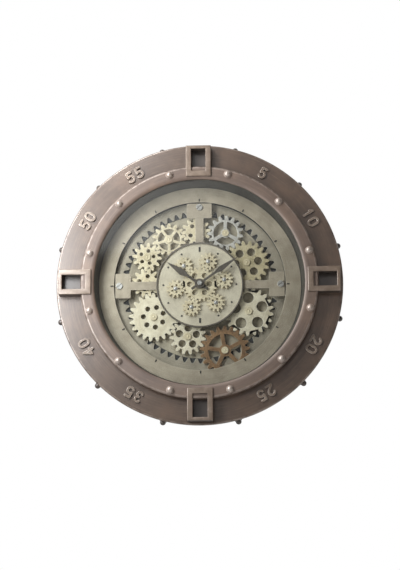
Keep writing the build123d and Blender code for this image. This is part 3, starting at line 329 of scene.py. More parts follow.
def clearGlass(name, look):   # thin pane: clear from the front, faint dust, no dark shadow under it
    finish = Finish(name)
    wire = finish.wire
    dust = finish.place.noise(*look["dust"]).smooth(*look["dustRange"]) * look["dustShare"]
    slant = wire.node("ShaderNodeLayerWeight", None, {"Blend": 0.5}, out="Facing")
    slant = slant.maths("POWER", look["slantPower"])   # the same from both faces of the pane
    sheen = look["straightSheen"] + (1 - look["straightSheen"]) * slant
    clear = wire.node("ShaderNodeBsdfTransparent", None, {0: look["clear"]})
    gloss = wire.node("ShaderNodeBsdfPrincipled", None,
                      {"Base Color": look["sheen"], "Roughness": look["sheenRough"], "Metallic": 1.0})
    film = wire.node("ShaderNodeBsdfPrincipled", None,
                     {"Base Color": look["film"], "Roughness": look["filmRough"]})
    shade = wire.node("ShaderNodeLightPath", out="Is Shadow Ray")
    pane = clear
    for share, shader in ((dust, film), (sheen, gloss), (shade, clear)):
        pane = wire.node("ShaderNodeMixShader", None, {0: share, 1: pane, 2: shader})
    wire.node("ShaderNodeOutputMaterial", None, {0: pane})
    return finish.material


looks = {
    "flange": antiqueBronze("flangeBronze", bronzeLook),
    "bezel": antiqueBronze("bezelBronze", bezelLook),
    "lug": antiqueBronze("lugBronze", lugLook),
    "pale": antiqueBronze("paleBronze", paleLook),
    "bolt": antiqueBronze("boltBronze", boltLook),
    "chapter": satinDial("chapterChampagne", champagneLook),
    "disc": satinDial("discChampagne", discLook),
    # the liner finish is painted shade as well as paint
    "liner": satinDial("linerPaint", linerShadeLook),
    "plate": satinDial("platePaint", plateLook),
    "ring": satinDial("ringChampagne", ringLook),
    "steel": satinDial("plainSteel", steelLook),
    "black": moulded("blackPaint", paintLook),
    "hand": moulded("handPaint", handLook),
    "plastic": moulded("blackPlastic", plasticLook),
    "white": moulded("whitePlastic", whiteLook),
    "rubber": moulded("blackRubber", rubberLook),
    "redSleeve": moulded("redSleeve", redLook),
    "glass": clearGlass("paneGlass", paneLook),
}
print("finishes made:", len(looks))


# mesh helpers
def shownObject(data, name):
    thing = bpy.data.objects.new(name, data)
    scene.collection.objects.link(thing)
    return thing


def meshFrom(shape, name):
    mesh = bpy.data.meshes.new(name)
    shape.to_mesh(mesh)
    shape.free()
    return mesh


def settle(thing, name):   # plain mesh of a modified object; the object itself goes
    bpy.context.view_layer.update()
    whole = thing.evaluated_get(bpy.context.evaluated_depsgraph_get())
    mesh = bpy.data.meshes.new_from_object(whole)
    mesh.name = name
    old = thing.data
    bpy.data.objects.remove(thing)
    if old.users == 0:
        bpy.data.meshes.remove(old)
    return mesh


def pieceName(node):   # case_drum -> caseDrum
    first, *rest = node.split("_")
    return first + "".join(word.capitalize() for word in rest)


def carry(mesh, node, material, name=None):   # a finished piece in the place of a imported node
    mesh.materials.clear()
    mesh.materials.append(material)
    for face in mesh.polygons:
        face.material_index = 0
    piece = shownObject(mesh, name or pieceName(node))
    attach(piece, bodyOf[node])
    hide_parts(node)
    return piece


def markRubbed(mesh, chosen):   # attribute that lets a finish show worn edges
    marks = mesh.attributes.new("rubbed", "FLOAT", "FACE")
    marks.data.foreach_set("value", [1.0 if pick else 0.0 for pick in chosen])


softenSet = {"merge": 2e-6, "cut": 1e-7, "flat": math.radians(0.6), "sharp": math.radians(34.0),
             "segments": 2}


def softened(node, name, edge, centre, angles):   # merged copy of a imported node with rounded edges
    shape = bmesh.new()
    shape.from_mesh(frame["nodes"][node].data)
    bmesh.ops.remove_doubles(shape, verts=shape.verts, dist=softenSet["merge"])
    for angle in angles:   # cuts through every window keep the flat faces simple
        turn = math.radians(angle)
        cut = bmesh.ops.bisect_plane(shape, geom=shape.verts[:] + shape.edges[:] + shape.faces[:],
                                     dist=softenSet["cut"], plane_co=(centre[0], 0.0, centre[1]),
                                     plane_no=(math.cos(turn), 0.0, -math.sin(turn)))
        for part in cut["geom_cut"]:
            if isinstance(part, bmesh.types.BMEdge):
                part.seam = True
    bmesh.ops.dissolve_limit(shape, angle_limit=softenSet["flat"], verts=shape.verts, edges=shape.edges,
                             delimit={"SEAM"})
    for face in shape.faces:
        face.smooth = True
        face.material_index = 0
    weights = shape.edges.layers.float.new("bevel_weight_edge")
    for line in shape.edges:   # outward edges are rounded, inward ones stay sharp
        bend = line.calc_face_angle_signed(0.0) if line.is_manifold else 0.0
        line[weights] = 1.0 if bend > softenSet["sharp"] else 0.0
        line.smooth = bend > -softenSet["sharp"]
    mesh = meshFrom(shape, name)
    if "custom_normal" in mesh.attributes:
        mesh.attributes.remove(mesh.attributes["custom_normal"])
    mesh.materials.clear()
    mesh.materials.append(None)
    mesh.materials.append(None)   # the second slot marks the rounded faces
    thing = shownObject(mesh, name)
    rounding = thing.modifiers.new("rounding", "BEVEL")
    rounding.width = edge
    rounding.segments = softenSet["segments"]
    rounding.limit_method = "WEIGHT"
    rounding.material = 1
    rounding.harden_normals = True
    rounding.use_clamp_overlap = False
    mesh = settle(thing, name)
    markRubbed(mesh, [face.material_index == 1 for face in mesh.polygons])
    return mesh


wheelCuts = [180.0 * step / 7 for step in range(7)]
plateCuts = [0.0, 22.5, 67.5, 90.0, 112.5, 157.5]


def dress(node, material, edge, centre=(0.0, 0.0), angles=plateCuts):   # better edges and finish
    return carry(softened(node, pieceName(node), edge, centre, angles), node, material)


def roundCorners(outline, steps):   # (radius, depth, corner) -> points, each with the corner it rounds
    points = []
    count = len(outline)
    mostCut = 0.49   # of a side's length
    for index in range(count):
        r, d, corner = outline[index]
        here = Vector((r, d))
        before = Vector(outline[index - 1][:2]) - here
        after = Vector(outline[(index + 1) % count][:2]) - here
        if corner <= 0:
            points.append((here, None))
            continue
        half = before.angle(after) / 2
        cut = min(corner / math.tan(half), before.length * mostCut, after.length * mostCut)
        start = here + before.normalized() * cut
        end = here + after.normalized() * cut
        for step in range(steps + 1):
            t = step / steps
            points.append(((1 - t) ** 2 * start + 2 * t * (1 - t) * here + t * t * end, index))
    return points


def spun(shape, points, turns):   # a ring of vertices for each turn round the dial axis
    return [[shape.verts.new((p.x * math.sin(angle) * mm, -p.y * mm, p.x * math.cos(angle) * mm))
             for p in points] for angle in (2 * math.pi * turn / turns for turn in range(turns))]


def evened(mesh, name):   # flat faces stay flat beside their rounded corners
    thing = shownObject(mesh, name)
    thing.modifiers.new("evened", "WEIGHTED_NORMAL").weight = 80
    return settle(thing, name)


def lathe(name, outline, turns=240, steps=4):   # closed outline of (radius, depth, corner), spun
    points = roundCorners(outline, steps)
    count = len(points)
    shape = bmesh.new()
    rings = spun(shape, [p for p, _ in points], turns)
    rubbed = []
    for turn in range(turns):
        here, there = rings[turn], rings[(turn + 1) % turns]
        for i in range(count):
            j = (i + 1) % count
            face = shape.faces.new((here[i], here[j], there[j], there[i]))
            face.smooth = True
            rubbed.append(points[i][1] is not None and points[i][1] == points[j][1])
    bmesh.ops.recalc_face_normals(shape, faces=shape.faces)
    mesh = meshFrom(shape, name)
    markRubbed(mesh, rubbed)
    return evened(mesh, name)


# camera, at the photograph's angle and framing
cameraSet = {"target": (0.0, -0.048, 0.0), "distance": 2.8, "azimuth": 1.7, "elevation": -13.0,
             "roll": 0.43, "focalPixels": 1540.4, "centre": (199.74, 284.08), "frame": (400, 570)}
turnAngle = math.radians(cameraSet["azimuth"])
riseAngle = math.radians(cameraSet["elevation"])
backward = Vector((math.sin(turnAngle) * math.cos(riseAngle),
                   -math.cos(turnAngle) * math.cos(riseAngle), math.sin(riseAngle)))
cameraData = bpy.data.cameras.new("photoCamera")
camera = shownObject(cameraData, "photoCamera")
camera.location = Vector(cameraSet["target"]) + backward * cameraSet["distance"]
camera.rotation_mode = "QUATERNION"
lean = Quaternion((0.0, 0.0, 1.0), -math.radians(cameraSet["roll"]))
camera.rotation_quaternion = (-backward).to_track_quat("-Z", "Y") @ lean
frameWide, frameHigh = cameraSet["frame"]
cameraData.lens = cameraSet["focalPixels"] * cameraData.sensor_width / frameHigh
cameraData.shift_x = (frameWide / 2 - cameraSet["centre"][0]) / frameHigh
cameraData.shift_y = (cameraSet["centre"][1] - frameHigh / 2) / frameHigh
scene.camera = camera
print("camera set")

# studio: white backdrop, soft surroundings, a bright band above the front, two near lamps
skySet = {"frontLight": 0.028, "backLight": 0.75, "backRange": (0.0, 0.30), "frontGloss": 0.035,
          "leftGloss": 0.75, "leftRange": (-0.2, 0.9), "veil": 1.5, "veilLeast": 0.10,
          "veilAcross": (-0.03, 0.10), "veilFoot": (0.242, 0.249), "veilTop": (0.36, 0.50),
          "overhead": 1.0, "overheadRange": (0.80, 0.98)}
world = bpy.data.worlds.new("studioWorld")
scene.world = world
world.use_nodes = True
world.node_tree.nodes.clear()
sky = Wire(world.node_tree)
east, depthWay, up = sky.node("ShaderNodeTexCoord", out="Generated").axes()
rays = sky.node("ShaderNodeLightPath")
isCamera, isGlossy, isThrough = rays.outs("Is Camera Ray", "Is Glossy Ray", "Is Transmission Ray")
leftward = (0.35 * up - 0.80 * east).smooth(*skySet["leftRange"])
backSide = depthWay.smooth(*skySet["backRange"])
gloss = skySet["frontGloss"] + (skySet["leftGloss"] - skySet["frontGloss"]) * leftward
across = skySet["veilLeast"] + (-east).smooth(*skySet["veilAcross"])
veil = skySet["veil"] * across * up.smooth(*skySet["veilFoot"]) * (1 - up.smooth(*skySet["veilTop"]))
gloss = gloss + veil
gloss = gloss + (1 - gloss) * backSide
level = skySet["frontLight"] + (skySet["backLight"] - skySet["frontLight"]) * backSide
level = level + skySet["overhead"] * up.smooth(*skySet["overheadRange"])
level = level + (gloss - level) * isGlossy
level = level + (1 - level) * isCamera.maths("MAXIMUM", isThrough)
backdrop = sky.node("ShaderNodeBackground", None, {"Color": (1.0, 1.0, 1.0, 1.0), "Strength": level})
sky.node("ShaderNodeOutputWorld", None, {0: backdrop})

keySet = {"place": (-0.40, -0.46, 0.09), "aim": (-0.06, -0.06, 0.0), "size": (0.18, 0.44), "power": 3.0,
          "colour": (0.93, 0.97, 1.0)}
topSet = {"place": (-0.23, -0.42, 0.48), "aim": (-0.05, -0.06, 0.1), "size": (0.20, 0.20), "power": 1.4,
          "colour": (1.0, 1.0, 1.0)}


def lamp(name, s):
    data = bpy.data.lights.new(name, "AREA")
    data.shape = "RECTANGLE"
    data.size, data.size_y = s["size"]
    data.energy = s["power"]
    data.color = s["colour"]
    thing = shownObject(data, name)
    thing.location = s["place"]
    thing.rotation_mode = "QUATERNION"
    thing.rotation_quaternion = (Vector(s["aim"]) - Vector(s["place"])).to_track_quat("-Z", "Y")
    thing.visible_camera = False
    return thing


lamps = [lamp("keyLamp", keySet), lamp("topLamp", topSet)]

floorSet = {"half": 6.0, "drop": 1.2, "low": (0.80, 0.80, 0.79), "high": (0.84, 0.84, 0.83), "rough": 0.8,
            "clouds": (3.0, 3.0, 0.55)}
floorMesh = bpy.data.meshes.new("paleFloor")
floorMesh.from_pydata([(x * floorSet["half"], y * floorSet["half"], -floorSet["drop"])
                       for x, y in ((-1, -1), (1, -1), (1, 1), (-1, 1))], [], [(0, 1, 2, 3)])
floorFinish = Finish("paleFloor")
floorTone = floorFinish.place.noise(*floorSet["clouds"]).blend(floorSet["low"], floorSet["high"])
floorMesh.materials.append(floorFinish.close(colour=floorTone, rough=floorSet["rough"]))
shownObject(floorMesh, "paleFloor")
print("studio set")

# lathed case pieces
flangeSet = {"inner": 212.68, "outer": 259.68, "front": 62.0, "sheet": 2.0, "edgeRound": 4.0, "bead": 6.0,
             "skirtInset": 6.5, "skirtDepth": 27.0, "collarDepth": 12.0, "corner": 0.5}


def flangeOutline(s):
    front, inner, outer, corner = s["front"], s["inner"], s["outer"], s["corner"]
    skirt = outer - s["skirtInset"]
    return [(inner, front - s["collarDepth"], corner), (inner, front, corner),
            (outer, front, s["edgeRound"]), (outer, front - s["bead"], corner * 2),
            (skirt, front - s["bead"], corner), (skirt, front - s["skirtDepth"], corner),
            (skirt - s["sheet"], front - s["skirtDepth"], corner),
            (skirt - s["sheet"], front - s["sheet"], corner),
            (inner + s["sheet"], front - s["sheet"], corner),
            (inner + s["sheet"], front - s["collarDepth"], corner)]


bezelSet = {"inner": 190.08, "outer": 214.68, "collar": 212.68, "front": 78.0, "back": 62.0,
            "under": 75.0, "slope": (8.0, 2.7), "slopeSteps": 8, "outerRound": 4.0, "corner": 0.4}


def bezelOutline(s):   # the inner edge falls towards the glass in a quarter of an ellipse
    wide, deep = s["slope"]
    fall = [(s["inner"] + wide * (1 - math.cos(turn)), s["front"] - deep * (1 - math.sin(turn)), 0.0)
            for turn in (math.pi / 2 * step / s["slopeSteps"] for step in range(s["slopeSteps"] + 1))]
    return [(s["inner"], s["under"], s["corner"])] + fall + [
        (s["outer"], s["front"], s["outerRound"]), (s["outer"], s["back"], s["corner"]),
        (s["collar"], s["back"], s["corner"]), (s["collar"], s["under"], s["corner"])]


drumSet = {"lipInner": 178.48, "outer": 212.48, "wall": 2.0, "lip": 2.0, "front": 75.0, "corner": 1.2,
           "lipRound": 0.6, "frontRound": 0.4}


def drumOutline(s):
    inner = s["outer"] - s["wall"]
    return [(s["lipInner"], 0.0, s["lipRound"]), (s["outer"], 0.0, s["corner"]),
            (s["outer"], s["front"], s["frontRound"]), (inner, s["front"], s["frontRound"]),
            (inner, s["lip"], s["lipRound"]), (s["lipInner"], s["lip"], s["lipRound"])]


linerSet = {"backRadius": 182.205, "frontRadius": 190.08, "back": 26.0, "front": 71.0, "sheet": 1.5,
            "plateRadius": 210.28, "backRound": 0.3, "bendRound": 0.5, "plateRound": 0.4,
            "mouthRound": 0.6}


def linerOutline(s):
    sheet, under = s["sheet"], s["front"] - s["sheet"]
    return [(s["backRadius"], s["back"], s["backRound"]),
            (s["backRadius"] + sheet, s["back"], s["backRound"]),
            (s["frontRadius"] + sheet, under, s["bendRound"]),
            (s["plateRadius"], under, s["plateRound"]),
            (s["plateRadius"], s["front"], s["plateRound"]),
            (s["frontRadius"], s["front"], s["mouthRound"])]


carry(lathe("outerFlange", flangeOutline(flangeSet), 288, 5), "outer_flange", looks["flange"])
carry(lathe("bezelRing", bezelOutline(bezelSet), 288, 5), "bezel_ring", looks["bezel"])
carry(lathe("caseDrum", drumOutline(drumSet)), "case_drum", looks["flange"])
carry(lathe("linerCone", linerOutline(linerSet)), "liner_cone", looks["liner"])

paneSet = {"radius": 199.08, "back": 71.0, "front": 74.0, "corner": 0.6}


def latheDisc(name, s, turns=240, steps=3):   # a disc whose middle is closed on the axis
    points = [p for p, _ in roundCorners(
        [(0.0, s["back"], 0.0), (s["radius"], s["back"], s["corner"]),
         (s["radius"], s["front"], s["corner"]), (0.0, s["front"], 0.0)], steps)]
    shape = bmesh.new()
    hub = [shape.verts.new((0.0, -p.y * mm, 0.0)) for p in (points[0], points[-1])]
    rings = spun(shape, points[1:-1], turns)
    for turn in range(turns):
        here, there = rings[turn], rings[(turn + 1) % turns]
        shape.faces.new((hub[0], here[0], there[0]))
        shape.faces.new((hub[1], there[-1], here[-1]))
        for i in range(len(here) - 1):
            shape.faces.new((here[i], here[i + 1], there[i + 1], there[i]))
    bmesh.ops.recalc_face_normals(shape, faces=shape.faces)
    for face in shape.faces:
        face.smooth = True
    return evened(meshFrom(shape, name), name)


pane = carry(latheDisc("glassPane", paneSet), "glass_lens", looks["glass"], "glassPane")
unlit = bpy.data.collections.new("unlitPane")   # the lamps aren't mirrored in the pane
unlit.objects.link(pane)
unlit.collection_objects[0].light_linking.link_state = "EXCLUDE"
for source in lamps:
    source.light_linking.receiver_collection = unlit
print("case lathed")

# dressed pieces: node, finish and how far its edges are rounded
for node, look, edge in (
        ("strap_lugs", "lug", 0.8), ("minute_numerals", "lug", 0.7), ("hanger_plate", "steel", 0.3),
        ("movement_plate", "plate", 0.4), ("toothed_ring", "ring", 0.5), ("chapter_ring", "chapter", 0.5),
        ("gear_bridges", "chapter", 0.5), ("centre_disc", "disc", 0.7), ("bridge_pillars", "steel", 0.3),
        ("glass_gasket", "rubber", 0.3), ("movement_case", "plastic", 0.5),
        ("movement_cover", "plastic", 0.3), ("stem_nut", "steel", 0.4), ("gear_motor", "steel", 0.5),
        ("battery_tray", "plastic", 0.5), ("hour_hand", "hand", 0.35), ("hour_tube", "steel", 0.15),
        ("minute_hand", "hand", 0.35), ("minute_shaft", "steel", 0.12), ("hand_nut", "steel", 0.35),
        ("minute_wheel", "white", 0.12), ("set_knob", "plastic", 0.3), ("switch_slider", "white", 0.4)):
    dress(node, looks[look], edge * mm)
print("sheets dressed")

# wheels: each with lathe lines round its own post
wheelLooks = {"left_lower_gear": creamLook, "lower_gear": creamLook, "five_hole_gear": creamLook,
              "copper_wheel": copperLook, "silver_wheel": silverLook, "olive_gear": oliveLook,
              "kidney_gear": brassLook, "left_upper_gear": brassLook}
wheelEdge = {"large": 0.45 * mm, "small": 0.15 * mm}
planetThinning = 0.98   # a hair thinner than the sun, so that no two faces lie in one plane
wheels = [node for node in frame["nodes"]
          if node.endswith(("_gear", "_wheel", "_idler", "_pinion")) and node != "minute_wheel"]
wheels += ["planet_gear_%d" % number for number in range(1, 7)]
joints = {joint["child"]: joint for joint in frame["joints"]}
postOf = {node: joints[bodyOf[node]]["pos_m"][::2] for node in wheels}   # x and z
for node in wheels:
    edge = wheelEdge["small" if node.startswith(("planet", "sun")) else "large"]
    finish = gearMetal(node + "Metal", wheelLooks.get(node, brassLook), postOf[node])
    wheel = dress(node, finish, edge, postOf[node], wheelCuts)
    if node.startswith("planet"):
        lo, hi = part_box(node)
        middle = (lo[1] + hi[1]) / 2
        for point in wheel.data.vertices:
            point.co.y = middle + (point.co.y - middle) * planetThinning
print("wheels dressed:", len(wheels))

for node, name in (("clock_cell", "movementCell"), ("drive_cells", "motorCells")):
    lo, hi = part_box(node)
    dress(node, cellJacket(name, lo[0], hi[0]), 0.4 * mm)
for node in ("motor_screws", "bridge_screws"):
    dress(node, looks["steel"], 0.3 * mm)
print("cells and slotted screws dressed")

# repeated pieces: geometry nodes set one turned pin round the dial or on given spots
pinSharp = math.radians(40.0)


def turnedPin(name, runs, facing=True):   # runs of (radius, height) from axis to axis, with their sides
    shape = bmesh.new()
    for run, sides in runs:
        hubs = []
        rings = []
        for radius, height in run:
            if radius == 0:
                hubs.append(shape.verts.new((0.0, 0.0, height * mm)))
                continue
            rings.append([shape.verts.new((radius * math.cos(turn) * mm, radius * math.sin(turn) * mm,
                                           height * mm))
                          for turn in (2 * math.pi * step / sides for step in range(sides))])
        for step in range(sides):
            after = (step + 1) % sides
            shape.faces.new((hubs[0], rings[0][after], rings[0][step]))
            shape.faces.new((hubs[1], rings[-1][step], rings[-1][after]))
            for low, high in zip(rings, rings[1:]):
                shape.faces.new((low[step], low[after], high[after], high[step]))
    bmesh.ops.recalc_face_normals(shape, faces=shape.faces)
    for face in shape.faces:
        face.smooth = True
    for line in shape.edges:
        if line.calc_face_angle(0.0) > pinSharp:
            line.smooth = False
    if facing:   # height runs towards the viewer
        for vert in shape.verts:
            x, y, z = vert.co
            vert.co = (x, -z, y)
    return meshFrom(shape, name)


def bevelledBar(name, wide, high, tall, edge):   # small bar facing the viewer, its long side radial
    corners = ((-1, -1), (1, -1), (1, 1), (-1, 1))
    shape = bmesh.new()
    rows = []
    for rise, shrink in ((0.0, 0.0), (tall - edge, 0.0), (tall, edge)):
        halfWide, halfHigh = wide / 2 - shrink, high / 2 - shrink
        rows.append([shape.verts.new((x * halfWide * mm, -rise * mm, z * halfHigh * mm))
                     for x, z in corners])
    shape.faces.new(rows[0])
    shape.faces.new(rows[-1])
    for low, top in zip(rows, rows[1:]):
        for step in range(len(corners)):
            after = (step + 1) % len(corners)
            shape.faces.new((low[step], low[after], top[after], top[step]))
    bmesh.ops.recalc_face_normals(shape, faces=shape.faces)
    return meshFrom(shape, name)


def startTree(name, inputs):   # empty geometry tree with named inputs
    tree = bpy.data.node_groups.new(name, "GeometryNodeTree")
    for label, kind in [("Geometry", "NodeSocketGeometry")] + inputs + [("Finish", "NodeSocketMaterial")]:
        tree.interface.new_socket(label, in_out="INPUT", socket_type=kind)
    tree.interface.new_socket("Geometry", in_out="OUTPUT", socket_type="NodeSocketGeometry")
    wire = Wire(tree)
    entry = wire.node("NodeGroupInput").socket.node
    return tree, wire, {socket.name: Wire(tree, socket) for socket in entry.outputs if socket.name}


def endTree(wire, copies, finish):
    whole = wire.node("GeometryNodeRealizeInstances", None, {"Geometry": copies})
    whole = wire.node("GeometryNodeSetMaterial", None, {"Geometry": whole, "Material": finish})
    wire.node("NodeGroupOutput", None, {0: whole})


def makeRingTree():   # incoming pin, repeated on a circle round the dial axis
    tree, wire, given = startTree("roundTheDial", [
        ("Count", "NodeSocketInt"), ("Circle radius", "NodeSocketFloat"), ("Depth", "NodeSocketFloat"),
        ("First angle", "NodeSocketFloat")])
    step = wire.node("GeometryNodeInputIndex")
    turn = given["First angle"] + step * (2 * math.pi / given["Count"])
    spot = wire.node("ShaderNodeCombineXYZ", None, {0: turn.maths("SINE") * given["Circle radius"],
                                                    1: -given["Depth"],
                                                    2: turn.maths("COSINE") * given["Circle radius"]})
    spots = wire.node("GeometryNodePoints", None, {"Count": given["Count"], "Position": spot})
    spin = wire.node("ShaderNodeCombineXYZ", None, {1: turn})
    copies = wire.node("GeometryNodeInstanceOnPoints", None,
                       {"Points": spots, "Instance": given["Geometry"], "Rotation": spin})
    endTree(wire, copies, given["Finish"])
    return tree


def makeSpotTree():   # a pin, repeated on the incoming points
    tree, wire, given = startTree("onTheSpots", [("Pin", "NodeSocketObject")])
    pin = wire.node("GeometryNodeObjectInfo", {"transform_space": "ORIGINAL"}, {"Object": given["Pin"]},
                    out="Geometry")
    copies = wire.node("GeometryNodeInstanceOnPoints", None,
                       {"Points": given["Geometry"], "Instance": pin})
    endTree(wire, copies, given["Finish"])
    return tree


ringTree = makeRingTree()
spotTree = makeSpotTree()


def runTree(tree, mesh, name, values):
    thing = shownObject(mesh, name)
    setter = thing.modifiers.new("copies", "NODES")
    setter.node_group = tree
    for socket in tree.interface.items_tree:
        if socket.in_out == "INPUT" and socket.name in values:
            setter[socket.identifier] = values[socket.name]
    return settle(thing, name)


def roundTheDial(name, pin, s, material):
    return runTree(ringTree, pin, name, {
        "Count": s["count"], "Circle radius": s["circle"] * mm, "Depth": s["depth"] * mm,
        "First angle": math.radians(s["first"]), "Finish": material})


def onTheSpots(name, pin, places, depth, material):
    dots = bpy.data.meshes.new(name + "Spots")
    dots.from_pydata([(x, -depth * mm, z) for x, z in places], [], [])
    holder = shownObject(pin, name + "Pin")
    mesh = runTree(spotTree, dots, name, {"Pin": holder, "Finish": material})
    bpy.data.objects.remove(holder)
    return mesh


def ringOfPins(node, pin, s, material):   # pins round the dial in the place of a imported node
    carry(roundTheDial(pieceName(node), pin, s, material), node, material)


def pinsOnSpots(node, pin, places, s, material):
    carry(onTheSpots(pieceName(node), pin, places, s["depth"], material), node, material)


def domeRun(base, foot, top, steps=7):   # part of a sphere from a rim to its top
    ball = (base ** 2 + (top - foot) ** 2) / (2 * (top - foot))
    wide = math.asin(min(1.0, base / ball))
    leans = [wide * (1 - step / steps) for step in range(steps)]
    return [(ball * math.sin(turn), top - ball * (1 - math.cos(turn))) for turn in leans] + [(0.0, top)]


bezelScrewSet = {"count": 12, "circle": 205.38, "depth": 78.0, "first": 15.0, "sides": 28, "shank": 2.5,
                 "point": 0.5, "length": 16.0, "head": 7.0, "foot": (0.1, 0.15), "collar": 0.9,
                 "collarEdge": 0.2, "domeInset": 0.5, "height": 7.0}


def bezelScrewRun(s):
    shank, head, collar, edge = s["shank"], s["head"], s["collar"], s["collarEdge"]
    inset, rise = s["foot"]
    run = [(0.0, -s["length"]), (shank - s["point"], -s["length"]), (shank, s["point"] - s["length"]),
           (shank, 0.0), (head - inset, 0.0), (head, rise), (head, collar - edge), (head - edge, collar)]
    return run + domeRun(head - s["domeInset"], collar, s["height"])


pin = turnedPin("bezelScrew", [(bezelScrewRun(bezelScrewSet), bezelScrewSet["sides"])])
ringOfPins("bezel_screws", pin, bezelScrewSet, looks["pale"])

rimBoltSet = {"count": 12, "circle": 253.18, "depth": 47.5, "first": 15.0, "shank": 3.0, "shankEdge": 0.4,
              "inside": 4.0, "overlap": 0.5, "head": 6.5, "footEdge": 0.3, "topEdge": 0.9, "flat": 6.6,
              "dome": 5.3, "domeSink": 0.6, "domeFoot": 1.2, "height": 13.0, "sides": (6, 20, 16)}


def rimBoltRuns(s):   # hexagon, dome on it and shank under it
    head, flat, dome, shank, inside = s["head"], s["flat"], s["dome"], s["shank"], s["inside"]
    foot, top, edge = s["footEdge"], s["topEdge"], s["shankEdge"]
    hexagon = [(0.0, 0.0), (head - foot, 0.0), (head, foot), (head, flat - top), (head - top, flat),
               (0.0, flat)]
    cap = [(0.0, flat - s["domeSink"]), (dome, flat - s["domeSink"]), (dome, flat + s["domeFoot"])]
    cap += domeRun(dome, flat + s["domeFoot"], s["height"])[1:]
    rod = [(0.0, -inside), (shank - edge, -inside), (shank, edge - inside), (shank, s["overlap"]),
           (0.0, s["overlap"])]
    return list(zip((hexagon, cap, rod), s["sides"]))


ringOfPins("rim_bolts", turnedPin("rimBolt", rimBoltRuns(rimBoltSet), False), rimBoltSet, looks["bolt"])

platePostSet = {"count": 8, "depth": 2.0, "first": 22.5, "sides": 20, "post": 5.0, "edge": 0.3,
                "length": 22.0, "plate": 2.0, "neck": 2.0, "rivet": 4.5, "rivetFoot": 0.6,
                "rivetHeight": 2.5}
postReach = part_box("plate_posts")[1][0] / mm - platePostSet["post"]
platePostSet["circle"] = postReach / math.cos(math.radians(platePostSet["first"]))


def platePostRun(s):
    post, edge, length = s["post"], s["edge"], s["length"]
    top = length + s["plate"]
    run = [(0.0, 0.0), (post - edge, 0.0), (post, edge), (post, length - edge), (post - edge, length),
           (s["neck"], length), (s["neck"], top), (s["rivet"], top), (s["rivet"], top + s["rivetFoot"])]
    return run + domeRun(s["rivet"], top + s["rivetFoot"], top + s["rivetHeight"])[1:]


pin = turnedPin("platePost", [(platePostRun(platePostSet), platePostSet["sides"])])
ringOfPins("plate_posts", pin, platePostSet, looks["steel"])

planetPostSet = {"count": 6, "circle": 45.0, "depth": 42.5, "first": 80.0, "sides": 22, "shoulder": 3.3,
                 "post": 2.5, "lift": 2.3, "cap": 4.0, "capFoot": 5.7, "capEdge": 0.5, "capTop": 0.95,
                 "tip": (1.7, 1.5, 1.2), "tipEdge": 0.15, "height": 6.9}


def planetPostRun(s):
    foot, cap, edge, height = s["capFoot"], s["cap"], s["capEdge"], s["height"]
    top = foot + s["capTop"]
    wide, neck, end = s["tip"]
    return [(0.0, 0.0), (s["shoulder"], 0.0), (s["shoulder"], s["lift"]), (s["post"], s["lift"]),
            (s["post"], foot), (cap, foot), (cap, foot + edge), (cap - edge, top), (wide, top),
            (neck, height - s["tipEdge"]), (end, height), (0.0, height)]


pin = turnedPin("planetPost", [(planetPostRun(planetPostSet), planetPostSet["sides"])])
ringOfPins("planet_posts", pin, planetPostSet, looks["steel"])

wheelSpots = [postOf[node] for node in wheels
              if bodyOf[node].endswith("_body") and node != "motor_pinion"]
gearPostSet = {"depth": 26.0, "sides": 24, "shoulder": 5.0, "edge": 0.3, "lift": 5.3, "post": 4.0,
               "height": 10.0}


def gearPostRun(s):
    shoulder, lift, edge = s["shoulder"], s["lift"], s["edge"]
    return [(0.0, 0.0), (shoulder, 0.0), (shoulder, lift - edge), (shoulder - edge, lift),
            (s["post"], lift), (s["post"], s["height"]), (0.0, s["height"])]


pin = turnedPin("gearPost", [(gearPostRun(gearPostSet), gearPostSet["sides"])])
pinsOnSpots("gear_posts", pin, wheelSpots, gearPostSet, looks["steel"])

gearCapSet = {"depth": 36.0, "sides": 28, "cap": 6.5, "edge": 0.5, "height": 2.0, "rimDrop": 0.2,
              "dish": 3.4, "dishSlope": 0.4, "dishDrop": 0.7, "pin": 2.0, "pinEdge": (0.3, 0.25)}


def gearCapRun(s):
    cap, edge, dish, tip, height = s["cap"], s["edge"], s["dish"], s["pin"], s["height"]
    rim, floor = height - s["rimDrop"], height - s["dishDrop"]
    inset, drop = s["pinEdge"]
    return [(0.0, 0.0), (cap, 0.0), (cap, rim - edge), (cap - edge, rim), (dish, rim),
            (dish - s["dishSlope"], floor), (tip, floor), (tip, height - drop), (tip - inset, height),
            (0.0, height)]


capMetal = gearMetal("capMetal", brassLook, (0.0, 0.0))
pin = turnedPin("gearCap", [(gearCapRun(gearCapSet), gearCapSet["sides"])])
pinsOnSpots("gear_caps", pin, wheelSpots, gearCapSet, capMetal)

tickSet = {"count": 12, "depth": 40.5, "first": 0.0, "length": 5.0, "width": 2.2, "height": 1.2,
           "edge": 0.35}
tickSet["circle"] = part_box("chapter_ticks")[1][2] / mm - tickSet["length"] / 2
bar = bevelledBar("chapterTick", tickSet["width"], tickSet["length"], tickSet["height"], tickSet["edge"])
ringOfPins("chapter_ticks", bar, tickSet, looks["black"])

markerSet = {"circle": 66.5, "depth": 42.5, "dot": 1.8, "sides": 16, "bar": (3.6, 9.0), "height": 0.8,
             "edge": 0.25}
barSet = {"count": 2, "circle": markerSet["circle"], "depth": markerSet["depth"], "first": 0.0}


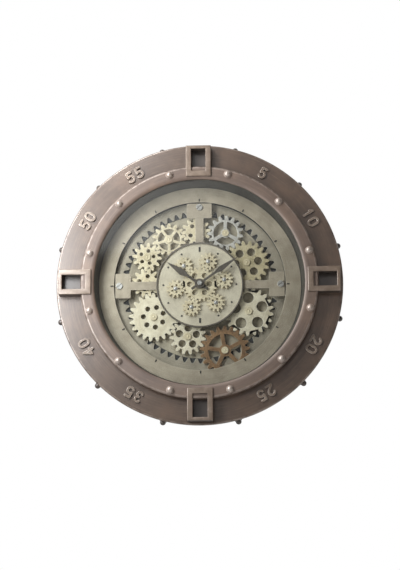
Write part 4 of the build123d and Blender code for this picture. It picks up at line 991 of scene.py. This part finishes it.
def dotRun(s):
    return [(0.0, 0.0), (s["dot"], 0.0), (s["dot"], s["height"] - s["edge"]),
            (s["dot"] - s["edge"], s["height"]), (0.0, s["height"])]


def hourMarkers(s):   # bars at twelve and six, dots at the other hours
    hours = [math.radians(30.0 * hour) for hour in range(12) if hour % 6]
    spots = [(s["circle"] * math.sin(turn) * mm, s["circle"] * math.cos(turn) * mm) for turn in hours]
    dots = onTheSpots("hourDots", turnedPin("hourDot", [(dotRun(s), s["sides"])]), spots, s["depth"],
                      looks["black"])
    bar = bevelledBar("noonBar", *s["bar"], s["height"], s["edge"])
    bars = roundTheDial("noonBars", bar, barSet, looks["black"])
    shape = bmesh.new()
    shape.from_mesh(dots)
    shape.from_mesh(bars)
    shape.to_mesh(dots)
    shape.free()
    return dots


carry(hourMarkers(markerSet), "hour_markers", looks["black"])
print("repeated pieces set")

# leads from the switch block to the motor
leadSet = {"x": -53.0, "spacing": 3.2, "depth": 18.0, "top": 23.0, "turnZ": -50.0, "end": -12.52,
           "radius": 0.8, "redLength": 0.095, "blackLength": 0.100, "smoothness": 24, "roundness": 4}


def leadRoute(s, row):
    x = s["x"] + row * s["spacing"]
    z = s["turnZ"] + row * s["spacing"]
    return [tuple(v * mm for v in place) for place in (
        (x, -s["depth"], s["top"]), (x, -s["depth"], z), (s["end"], -s["depth"], z))]


def leadCurve(name, route, s):
    line = bpy.data.curves.new(name, "CURVE")
    line.dimensions = "3D"
    spline = line.splines.new("NURBS")
    spline.points.add(len(route) - 1)
    for point, place in zip(spline.points, route):
        point.co = (*place, 1.0)
    spline.order_u = 3
    spline.use_endpoint_u = True
    spline.resolution_u = s["smoothness"]
    line.bevel_depth = s["radius"] * mm
    line.bevel_resolution = s["roundness"]
    line.use_fill_caps = True
    return line


for name, row, look, length in (("redLead", 0.5, "redSleeve", leadSet["redLength"]),
                                ("blackLead", -0.5, "rubber", leadSet["blackLength"])):
    route = leadRoute(leadSet, row)
    lead = shownObject(leadCurve(name, route, leadSet), name)
    lead.data.materials.append(looks[look])
    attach(lead, "clock")
    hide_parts("motor_leads")
print("leads laid")

print("pieces done")
